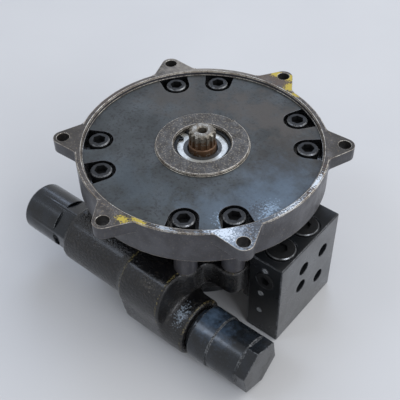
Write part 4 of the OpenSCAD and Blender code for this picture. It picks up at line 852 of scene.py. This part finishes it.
class FastenerTree:
    """Geometry nodes that set one fastener on every point of a mesh, turned to its axis."""

    SIZES = ("Head Radius", "Head Height", "Edge Bevel", "Socket Width", "Socket Depth",
             "Shank Radius", "Shank Length")
    # Sizes that follow from these, each with its sum. A hexagon's corners are its width over the
    # root of three from its middle, and its cutter stands half above the head
    SUMS = (("Straight Height", "SUBTRACT", "Head Height", "Edge Bevel"),
            ("Top Radius", "SUBTRACT", "Head Radius", "Edge Bevel"),
            ("Top Share", "DIVIDE", "Top Radius", "Head Radius"),
            ("Head Drop", "MULTIPLY", "Head Height", -1.0),
            ("Socket Radius", "DIVIDE", "Socket Width", math.sqrt(3.0)),
            ("Cutter Height", "MULTIPLY", "Socket Depth", 2.0),
            ("Half Shank", "MULTIPLY", "Shank Length", -0.5),
            ("Shank Middle", "SUBTRACT", "Half Shank", "Head Height"))
    SOCKET_SIDES = 6
    SHANK_SIDES = 32
    # How near the head's two halves are when they are joined, in metres
    JOIN = 1e-6

    def __init__(self) -> None:
        """Builds the tree with named inputs for the fastener's sizes in metres."""
        self.tree = bpy.data.node_groups.new("fastener", "GeometryNodeTree")
        face = self.tree.interface
        face.new_socket("Geometry", in_out="INPUT", socket_type="NodeSocketGeometry")
        for name in self.SIZES:
            face.new_socket(name, in_out="INPUT", socket_type="NodeSocketFloat")
        face.new_socket("Head Sides", in_out="INPUT", socket_type="NodeSocketInt")
        face.new_socket("Has Socket", in_out="INPUT", socket_type="NodeSocketBool")
        face.new_socket("Body Finish", in_out="INPUT", socket_type="NodeSocketMaterial")
        face.new_socket("Edge Finish", in_out="INPUT", socket_type="NodeSocketMaterial")
        face.new_socket("Geometry", in_out="OUTPUT", socket_type="NodeSocketGeometry")
        tree = self.tree
        put = {socket.name: socket for socket in add_node(tree, "NodeGroupInput").outputs}
        for name, operation, first, second in self.SUMS:
            put[name] = add_node(tree, "ShaderNodeMath", {"operation": operation}, {
                0: put[first], 1: put.get(second, second)}).outputs[0]
        whole = add_node(tree, "GeometryNodeJoinGeometry")
        for part in (self._head(put), self._shank(put)):
            tree.links.new(part, whole.inputs[0])
        axis = add_node(tree, "GeometryNodeInputNamedAttribute", {"data_type": "FLOAT_VECTOR"}, {
            "Name": "axis"}).outputs[0]
        turn = add_node(tree, "GeometryNodeInputNamedAttribute", {"data_type": "FLOAT"}, {
            "Name": "turn"}).outputs[0]
        start = add_node(tree, "FunctionNodeAxisAngleToRotation", {}, {
            "Axis": (0, 0, 1), "Angle": turn}).outputs[0]
        facing = add_node(tree, "FunctionNodeAlignRotationToVector", {"axis": "Z"}, {
            "Rotation": start, "Vector": axis}).outputs[0]
        copies = add_node(tree, "GeometryNodeInstanceOnPoints", {}, {
            "Points": put["Geometry"], "Instance": whole.outputs[0], "Rotation": facing}).outputs[0]
        solid = add_node(tree, "GeometryNodeRealizeInstances", {}, {"Geometry": copies}).outputs[0]
        add_node(tree, "NodeGroupOutput", {}, {"Geometry": solid})

    def _head(self, put: dict[str, Socket]) -> Socket:
        """Adds the nodes of the head, with a bevelled edge and, where asked for, a hexagon socket.

        Args:
            put: the tree's inputs and sums by name.

        Returns:
            The head, its top at the origin.
        """
        tree = self.tree
        disc = add_node(tree, "GeometryNodeMeshCircle", {"fill_type": "NGON"}, {
            "Vertices": put["Head Sides"], "Radius": put["Head Radius"]}).outputs[0]
        side = add_node(tree, "GeometryNodeExtrudeMesh", {"mode": "FACES"}, {
            "Mesh": disc, "Offset Scale": put["Straight Height"]})
        top = add_node(tree, "GeometryNodeExtrudeMesh", {"mode": "FACES"}, {
            "Mesh": side.outputs["Mesh"], "Selection": side.outputs["Top"],
            "Offset Scale": put["Edge Bevel"]})
        shrunk = add_node(tree, "GeometryNodeScaleElements", {}, {
            "Geometry": top.outputs["Mesh"], "Selection": top.outputs["Top"],
            "Scale": put["Top Share"]}).outputs[0]
        tinted = add_node(tree, "GeometryNodeSetMaterial", {}, {
            "Geometry": shrunk, "Material": put["Body Finish"]}).outputs[0]
        tinted = add_node(tree, "GeometryNodeSetMaterial", {}, {
            "Geometry": tinted, "Selection": top.outputs["Side"],
            "Material": put["Edge Finish"]}).outputs[0]
        under = add_node(tree, "GeometryNodeFlipFaces", {}, {"Mesh": disc}).outputs[0]
        under = add_node(tree, "GeometryNodeSetMaterial", {}, {
            "Geometry": under, "Material": put["Body Finish"]}).outputs[0]
        closed = add_node(tree, "GeometryNodeJoinGeometry")
        for part in (tinted, under):
            tree.links.new(part, closed.inputs[0])
        head = add_node(tree, "GeometryNodeMergeByDistance", {}, {
            "Geometry": closed.outputs[0], "Distance": self.JOIN}).outputs[0]
        drop = add_node(tree, "ShaderNodeCombineXYZ", {}, {"Z": put["Head Drop"]}).outputs[0]
        head = add_node(tree, "GeometryNodeTransform", {}, {
            "Geometry": head, "Translation": drop}).outputs[0]
        cutter = add_node(tree, "GeometryNodeMeshCylinder", {"fill_type": "NGON"}, {
            "Vertices": self.SOCKET_SIDES, "Radius": put["Socket Radius"],
            "Depth": put["Cutter Height"]}).outputs[0]
        cutter = add_node(tree, "GeometryNodeSetMaterial", {}, {
            "Geometry": cutter, "Material": put["Body Finish"]}).outputs[0]
        settings = {"operation": "DIFFERENCE", "solver": "EXACT"}
        cut = add_node(tree, "GeometryNodeMeshBoolean", settings, {0: head, 1: cutter}).outputs[0]
        return add_node(tree, "GeometryNodeSwitch", {"input_type": "GEOMETRY"}, {
            "Switch": put["Has Socket"], "False": head, "True": cut}).outputs[0]

    def _shank(self, put: dict[str, Socket]) -> Socket:
        """Adds the nodes of the shank.

        Args:
            put: the tree's inputs and sums by name.

        Returns:
            The shank, under the head.
        """
        tree = self.tree
        shank = add_node(tree, "GeometryNodeMeshCylinder", {"fill_type": "NGON"}, {
            "Vertices": self.SHANK_SIDES, "Radius": put["Shank Radius"],
            "Depth": put["Shank Length"]}).outputs[0]
        middle = add_node(tree, "ShaderNodeCombineXYZ", {}, {"Z": put["Shank Middle"]}).outputs[0]
        shank = add_node(tree, "GeometryNodeTransform", {}, {
            "Geometry": shank, "Translation": middle}).outputs[0]
        return add_node(tree, "GeometryNodeSetMaterial", {}, {
            "Geometry": shank, "Material": put["Body Finish"]}).outputs[0]


@dataclass(frozen=True)
class FastenerSize:
    """The sizes of a kind of screw or plug in mm, and the turns of its heads in degrees.

    A head whose socket has no width has no socket.
    """

    head_r: float
    head_h: float
    bevel: float
    shank_r: float
    socket_w: float = 0.0
    socket_d: float = 0.0
    sides: int = 48
    turns: tuple[float, ...] = (8, 31, 52, 17, 44, 5, 26, 38)

    def inputs(self, length: float) -> dict[str, object]:
        """The values for the geometry nodes.

        Args:
            length: the fastener's whole length in metres.

        Returns:
            Each value by its input's name, with lengths in metres.
        """
        return {"Head Radius": self.head_r * MM, "Head Height": self.head_h * MM,
                "Edge Bevel": self.bevel * MM, "Socket Width": self.socket_w * MM,
                "Socket Depth": self.socket_d * MM, "Shank Radius": self.shank_r * MM,
                "Shank Length": length - self.head_h * MM, "Head Sides": self.sides,
                "Has Socket": self.socket_w > 0}


@dataclass
class FastenerSet(Piece):
    """A set of like screws or plugs, each found from its solid in the CAD node.

    The axis points out of the head.
    """

    size: FastenerSize
    axis: Triple = (0, 0, 1)
    finish: Finish = SCREW
    edge_finish: Finish = SCREW_EDGE

    SHARP_DEGREES = 34

    def build(self, fasteners: FastenerTree) -> bpy.types.Object:
        """Makes the set.

        Args:
            fasteners: the geometry nodes that draw a fastener on each point.

        Returns:
            The finished object.
        """
        axis = Vector(self.axis)
        half = 0.0
        points = bmesh.new()
        axis_layer = points.verts.layers.float_vector.new("axis")
        turn_layer = points.verts.layers.float.new("turn")
        for index, (low, high) in enumerate(loose_parts(self.nodes[0])):
            middle = (low + high) / 2
            half = sum(abs(axis[i]) * (high[i] - low[i]) for i in Axis) / 2
            vert = points.verts.new(middle + axis * half)
            vert[axis_layer] = axis
            vert[turn_layer] = math.radians(self.size.turns[index % len(self.size.turns)])
        item = mesh_object(self.name, points)
        # The fasteners of a set are alike, so the last one's length is every one's
        maker = item.modifiers.new("fastener", "NODES")
        maker.node_group = fasteners.tree
        values = {**self.size.inputs(2 * half), "Body Finish": self.finish.material(),
                  "Edge Finish": self.edge_finish.material()}
        for socket in fasteners.tree.interface.items_tree:
            if socket.in_out == "INPUT" and socket.name in values:
                maker[socket.identifier] = values[socket.name]
        apply_modifiers(item)
        item.data.shade_smooth()
        item.data.set_sharp_from_angle(angle=math.radians(self.SHARP_DEGREES))
        self.place(item)
        return item


# Sub-assemblies


class FlangeFinish(IntEnum):
    """The flange casting's finishes, by their places in its list."""

    DISC = 0
    EDGE = 1
    RIM = 2
    CENTRE = 3
    WALL = 4
    OIL_AND_SHADE = 5
    HOLE_GREASE_AND_SHADE = 6


@dataclass
class MountingFlange:
    """The grey front casting: disc, centre ring, raised rim, six ears and the pillars below.

    Sizes and heights are in mm from the middle of the rim's top face.
    """

    rim_in: float = 102.2
    rim_edge_r: float = 100.0
    outer_wall_r: float = 104.0
    disc_z: float = -4.0
    ring_z: float = -1.5
    ring_r: float = 41.2
    ring_lip: float = 2.0
    inner_low_z: float = -20.0
    pocket_low_z: float = -25.0
    ear_r: float = 120.0
    ear_hole_reach: float = 6.0
    ear_angles: tuple[float, ...] = (36, 90, 144, 216, 270, 324)
    edge_mm: float = 0.35
    screw: FastenerSize = FastenerSize(head_r=9, head_h=12, bevel=1, shank_r=6, socket_w=10,
                                       socket_d=6)

    # How far from a height or a radius a face may lie and still belong to it
    NEAR_DISC = 0.6
    NEAR_RIM = 0.5
    NEAR_WALL = 1.0
    UNDER_DISC = 0.02
    # How far up a normal points on a face that lies flat, slants, or stands in a hole or outside
    FLAT_UP = 0.6
    SLANT_UP = 0.25
    HOLE_UP = 0.3
    WALL_UP = 0.2

    def in_ear_hole(self, place: Vector) -> bool:
        """Whether a face is on the wall of a hole through an ear.

        Args:
            place: the face's centre in mm.

        Returns:
            True in a hole.
        """
        spots = ((self.ear_r * math.cos(math.radians(a)), self.ear_r * math.sin(math.radians(a)))
                 for a in self.ear_angles)
        return any(math.hypot(place.x - x, place.y - y) < self.ear_hole_reach for x, y in spots)

    def in_pocket(self, place: Vector) -> bool:
        """Whether a face is below the disc's face, in a screw's pocket or on its rounded lip.

        Args:
            place: the face's centre in mm.

        Returns:
            True in a pocket.
        """
        radius = math.hypot(place.x, place.y)
        among_screws = self.ring_r + self.ring_lip < radius < self.rim_in + self.NEAR_RIM
        return among_screws and self.pocket_low_z < place.z < self.disc_z - self.UNDER_DISC

    def dull_edge(self, place: Vector, normal: Vector) -> bool:
        """Whether nothing rubs a rounded edge bright: upright on the outer wall, or in a pocket."""
        outside = math.hypot(place.x, place.y) > self.outer_wall_r
        return (outside and abs(normal.z) < self.WALL_UP) or self.in_pocket(place)

    def zone(self, place: Vector, normal: Vector) -> FlangeFinish:
        """Which finish a face takes.

        Args:
            place: the face's centre in mm.
            normal: its outward normal.

        Returns:
            The finish's place in the piece's list.
        """
        radius = math.hypot(place.x, place.y)
        # Hole walls take the greasy finish with painted shade
        if abs(normal.z) < self.HOLE_UP and self.in_ear_hole(place):
            return FlangeFinish.HOLE_GREASE_AND_SHADE
        # Pockets take the black oil finish, darkened further as painted shade of the recess
        if self.in_pocket(place):
            return FlangeFinish.OIL_AND_SHADE
        if normal.z > self.FLAT_UP:
            if place.z > self.ring_z + self.NEAR_RIM:
                return FlangeFinish.RIM
            if place.z > self.disc_z + self.NEAR_DISC:
                return FlangeFinish.CENTRE
            if place.z > self.disc_z - self.NEAR_DISC:
                return FlangeFinish.DISC
            if radius < self.ring_r:
                return FlangeFinish.CENTRE
            return FlangeFinish.OIL_AND_SHADE if place.z > self.pocket_low_z else FlangeFinish.WALL
        if normal.z > self.SLANT_UP and place.z > self.ring_z and radius > self.rim_edge_r:
            return FlangeFinish.EDGE
        if radius < self.rim_in and place.z > self.inner_low_z:
            if radius < self.ring_r + self.ring_lip:
                return FlangeFinish.CENTRE
            low = place.z < self.disc_z - self.NEAR_WALL
            return FlangeFinish.OIL_AND_SHADE if low else FlangeFinish.RIM
        return FlangeFinish.WALL

    def build(self, fasteners: FastenerTree) -> None:
        """Makes the casting and its eight screws.

        Args:
            fasteners: the geometry nodes of the screws.
        """
        MachinedPiece("flange_casting", ("front_flange",), "case", Slot.CAST_GREY, finish=DISC,
                      edge_finish=RIM_EDGE, edge_mm=self.edge_mm,
                      extra=(RIM, CENTRE, WALL, OIL_AND_SHADE, HOLE_GREASE_AND_SHADE), zone=self.zone,
                      dull_edge=self.dull_edge).build()
        FastenerSet("flange_screw_set", ("flange_screws",), "case", Slot.SCREW_BLACK,
                    self.screw).build(fasteners)


@dataclass
class Housing:
    """The black casting with its two-bore valve part, rear cover and cover screws.

    Places are in mm: the axes of the two bores, of which the upper is open on the left of change_x
    and the lower on the right of it, and the box of the valve part.
    """

    valve_y: float = -86.8
    upper_z: float = -87.2
    lower_z: float = -115.8
    clear_r: float = 18.6
    change_x: float = 20.0
    valve_back_y: float = -56.0
    valve_x: tuple[float, float] = (-67.0, 64.0)
    valve_z: tuple[float, float] = (-140.5, -61.5)
    cover_edge_mm: float = 0.8
    cover_screw: FastenerSize = FastenerSize(head_r=6.5, head_h=8, bevel=0.8, shank_r=4,
                                             socket_w=6, socket_d=4, sides=40)

    def outer_skin(self, place: np.ndarray) -> np.ndarray:
        """Where inner corners are filled: the cast skin, not the bores and machined faces.

        Args:
            place: points in mm, one to a row.

        Returns:
            True for each point that may be filled.
        """
        x, y, z = place.T
        upper = np.hypot(y - self.valve_y, z - self.upper_z) > self.clear_r
        lower = np.hypot(y - self.valve_y, z - self.lower_z) > self.clear_r
        off_bores = (upper | (x > self.change_x)) & (lower | (x < self.change_x))
        in_length = (x > self.valve_x[0]) & (x < self.valve_x[1])
        in_height = (z > self.valve_z[0]) & (z < self.valve_z[1])
        return off_bores & in_length & in_height & (y < self.valve_back_y)

    def build(self, fasteners: FastenerTree) -> None:
        """Makes the housing, its cover and the cover's screws.

        Args:
            fasteners: the geometry nodes of the screws.
        """
        CastPiece("housing_casting", ("motor_housing",), "case", Slot.CAST_BLACK,
                  fill_here=self.outer_skin).build()
        MachinedPiece("rear_cover_plate", ("rear_cover",), "case", Slot.CAST_BLACK,
                      finish=BLOCK, edge_finish=BLOCK_EDGE, edge_mm=self.cover_edge_mm).build()
        FastenerSet("cover_screw_set", ("rear_cover_screws",), "case", Slot.SCREW_BLACK,
                    self.cover_screw, axis=(0, 0, -1)).build(fasteners)


@dataclass
class ValveCaps:
    """The long turned caps that close the two spool bores."""

    sides: tuple[str, ...] = ("left", "right")
    edge_mm: float = 0.6

    def build(self) -> None:
        """Makes both caps, of which each carries its side's name."""
        for side in self.sides:
            MachinedPiece(f"{side}_cap_turned", (f"{side}_cap",), "case", Slot.CAP_BLACK,
                          finish=CAP, edge_finish=CAP_EDGE, edge_mm=self.edge_mm).build()


class BlockFinish(IntEnum):
    """The port block's finishes, by their places in its list."""

    PLAIN = 0
    EDGE = 1
    OUTER_FACE = 2


@dataclass
class PortBlock:
    """The milled block on the right with its plugs and the screws that hold it.

    Sizes are in mm. The screws' hexagon heads are 13 mm wide.
    """

    outer_face_x: float = 114.9
    edge_mm: float = 0.5
    relief_plug: FastenerSize = FastenerSize(head_r=12.5, head_h=2.5, bevel=0.8, shank_r=9.5,
                                             socket_w=10, socket_d=2.4, turns=(12, 40))
    screw: FastenerSize = FastenerSize(head_r=13 / math.sqrt(3), head_h=5.3, bevel=0.5,
                                       shank_r=4, sides=6, turns=(30,))
    gallery_plug: FastenerSize = FastenerSize(head_r=3, head_h=2, bevel=0.5, shank_r=2.9,
                                              sides=24)

    # How far a normal points outwards on the outer face
    OUTWARD = 0.9

    def zone(self, place: Vector, normal: Vector) -> BlockFinish:
        """Which finish a face takes: the outer face's own, or the block's."""
        # The outer face takes its own lighter finish: rubbed paint and painted light
        outer = normal.x > self.OUTWARD and place.x > self.outer_face_x
        return BlockFinish.OUTER_FACE if outer else BlockFinish.PLAIN

    def build(self, fasteners: FastenerTree) -> None:
        """Makes the block and its fasteners.

        Args:
            fasteners: the geometry nodes of the plugs and screws.
        """
        MachinedPiece("port_block_milled", ("port_block",), "case", Slot.BLOCK_BLACK,
                      finish=BLOCK, edge_finish=BLOCK_EDGE, edge_mm=self.edge_mm,
                      extra=(BLOCK_FACE_WORN_AND_LIT,), zone=self.zone).build()
        FastenerSet("relief_plug_set", ("relief_plugs",), "case", Slot.SCREW_BLACK,
                    self.relief_plug).build(fasteners)
        FastenerSet("block_screw_set", ("port_block_screws",), "case", Slot.SCREW_BLACK,
                    self.screw, axis=(-1, 0, 0)).build(fasteners)
        FastenerSet("gallery_plug_set", ("gallery_plugs",), "case", Slot.BRIGHT,
                    self.gallery_plug, axis=(0, -1, 0), finish=PLUG_STEEL).build(fasteners)


@dataclass
class Springs:
    """The springs of the brake, the two spools and the two relief valves, with sizes in mm."""

    brake_end: float = -44.0
    brake_travel: float = 2.0
    left_end: float = -114.0
    right_end: float = 118.0
    spool_travel: float = 5.0
    relief_end: float = -56.0
    relief_travel: float = 1.8

    def build(self) -> None:
        """Makes all the springs."""
        rows = (("brake_springs", "brake_slide", Axis.Z, self.brake_end, self.brake_travel),
                ("left_spring", "left_spool_slide", Axis.X, self.left_end, self.spool_travel),
                ("right_spring", "right_spool_slide", Axis.X, self.right_end, self.spool_travel),
                ("relief_spring_a", "relief_a_slide", Axis.Z, self.relief_end, self.relief_travel),
                ("relief_spring_b", "relief_b_slide", Axis.Z, self.relief_end, self.relief_travel))
        for node, joint, axis, end, travel in rows:
            CoilSpring(f"{node}_wire", (node,), "case", Slot.SPRING_STEEL, joint=joint, axis=axis,
                       fixed_end=end, travel=travel).build()


@dataclass
class CarriedNodes:
    """The solids whose shapes are already right: they keep their meshes and take a finish.

    special names the nodes whose finish isn't that of their slot.
    """

    special: tuple[tuple[str, Finish], ...] = (("seal_circlip", SCREW),)

    def build(self) -> None:
        """Gives every CAD node its own finish or the finish of its slot."""
        by_slot = {slot.slot_name: slot.finish for slot in Slot}
        by_node = {part["node"]: by_slot[part["material_slot"]]
                   for part in FRAME["record"]["subparts"]}
        by_node.update(self.special)
        for name, item in FRAME["nodes"].items():
            material = by_node[name].material()
            if not item.material_slots:
                item.data.materials.append(material)
            for slot in item.material_slots:
                slot.link = "OBJECT"
                slot.material = material
            LOG.info("%s: %s", name, by_node[name].name)


# Studio


@dataclass(frozen=True)
class Lamp:
    """A soft square lamp, with its place and side in metres and its power in watts."""

    name: str
    place: Triple
    side: float
    watts: float
    colour: str

    def hang(self, aim: Triple) -> None:
        """Hangs the lamp.

        Args:
            aim: the point it faces, in metres.
        """
        data = bpy.data.lights.new(self.name, "AREA")
        data.shape = "SQUARE"
        data.size = self.side
        data.energy = self.watts
        data.color = linear(self.colour)[:3]
        item = new_object(self.name, data)
        item.location = self.place
        item.rotation_euler = (Vector(aim) - Vector(self.place)).to_track_quat("-Z", "Y").to_euler()


@dataclass
class Studio:
    """Pale floor, soft light from the far right and the camera of the photograph.

    Places and lengths are in metres, the camera's turns and field of view in degrees.
    """

    eye: Triple = (0.307886, -0.366925, 0.401507)
    turn: Triple = (45.41079, 0.90017, 39.49515)
    view: float = 30.52044
    nearest: float = 0.01
    floor_half: float = 2.8
    fade_from: float = 1.3
    floor_roughness: float = 0.55
    cloud_width: float = 1 / 6
    around: str = "F2F4F8"
    around_strength: float = 0.68
    aim: Triple = (0, 0, -0.07)
    lamps: tuple[Lamp, ...] = (Lamp("window", (1.7, 1.8, 2.5), 2.8, 52.0, "FFFFFF"),
                               Lamp("sky", (-1.25, 1.7, 2.2), 1.5, 22.0, "CFE1FF"),
                               Lamp("side", (2.6, -0.6, 1.6), 1.5, 31.0, "F2F6FF"),
                               Lamp("front", (-1.25, -1.35, 2.35), 0.9, 13.0, "D6E4FA"))

    def floor_material(self) -> bpy.types.Material:
        """Pale honed floor with the faintest cloud, fading far out into the surroundings.

        Returns:
            The material.
        """
        material = bpy.data.materials.new("pale_honed_floor")
        material.use_nodes = True
        tree = material.node_tree
        tree.nodes.clear()
        place = add_node(tree, "ShaderNodeTexCoord").outputs["Object"]
        cloud = add_node(tree, "ShaderNodeTexNoise", {}, {
            "Vector": place, "Scale": 1 / self.cloud_width, "Detail": 3.0,
            "Roughness": 0.5}).outputs["Fac"]
        colour = add_node(tree, "ShaderNodeMix", {"data_type": "RGBA"}, {
            0: cloud, 6: linear("BFBFC0"), 7: linear("C8C8C8")}).outputs[2]
        shader = add_node(tree, "ShaderNodeBsdfPrincipled", {}, {
            "Base Color": colour, "Roughness": self.floor_roughness})
        away = add_node(tree, "ShaderNodeVectorMath", {"operation": "LENGTH"}, {
            0: place}).outputs["Value"]
        fade = add_node(tree, "ShaderNodeMapRange", {"interpolation_type": "SMOOTHSTEP"}, {
            "Value": away, "From Min": self.fade_from, "From Max": self.floor_half}).outputs["Result"]
        clear = add_node(tree, "ShaderNodeBsdfTransparent")
        both = add_node(tree, "ShaderNodeMixShader", {}, {
            0: fade, 1: shader.outputs[0], 2: clear.outputs[0]})
        add_node(tree, "ShaderNodeOutputMaterial", {}, {"Surface": both.outputs[0]})
        return material

    def floor(self, height: float) -> None:
        """Lays the floor under the motor.

        Args:
            height: the floor's height in metres.
        """
        half = self.floor_half
        sheet = bmesh.new()
        sheet.faces.new([sheet.verts.new((x, y, height)) for x, y in (
            (-half, -half), (half, -half), (half, half), (-half, half))])
        item = mesh_object("floor", sheet)
        item.data.materials.append(self.floor_material())

    def world(self) -> None:
        """Even pale surroundings, the same to the camera and in reflections."""
        world = bpy.data.worlds.new("studio")
        bpy.context.scene.world = world
        world.use_nodes = True
        tree = world.node_tree
        tree.nodes.clear()
        fill = add_node(tree, "ShaderNodeBackground", {}, {
            "Color": linear(self.around), "Strength": self.around_strength})
        add_node(tree, "ShaderNodeOutputWorld", {}, {"Surface": fill.outputs[0]})

    def camera(self) -> None:
        """Sets the camera of the photograph."""
        data = bpy.data.cameras.new("camera")
        data.angle = math.radians(self.view)
        data.clip_start = self.nearest
        item = new_object("camera", data)
        item.location = self.eye
        item.rotation_euler = [math.radians(a) for a in self.turn]
        bpy.context.scene.camera = item

    def build(self, floor_height: float) -> None:
        """Makes the whole studio.

        Args:
            floor_height: the floor's height in metres.
        """
        self.camera()
        self.floor(floor_height)
        self.world()
        for lamp in self.lamps:
            lamp.hang(self.aim)
        bpy.context.scene.view_settings.view_transform = "Standard"


def main() -> None:
    """Builds the studio and the motor's pieces in order."""
    logging.basicConfig(level=logging.INFO, format="%(name)s: %(message)s")
    Studio().build(CAD_BOX[0][Axis.Z])
    CarriedNodes().build()
    fasteners = FastenerTree()
    MountingFlange().build(fasteners)
    Housing().build(fasteners)
    ValveCaps().build()
    PortBlock().build(fasteners)
    Springs().build()


if __name__ == "__main__":
    main()
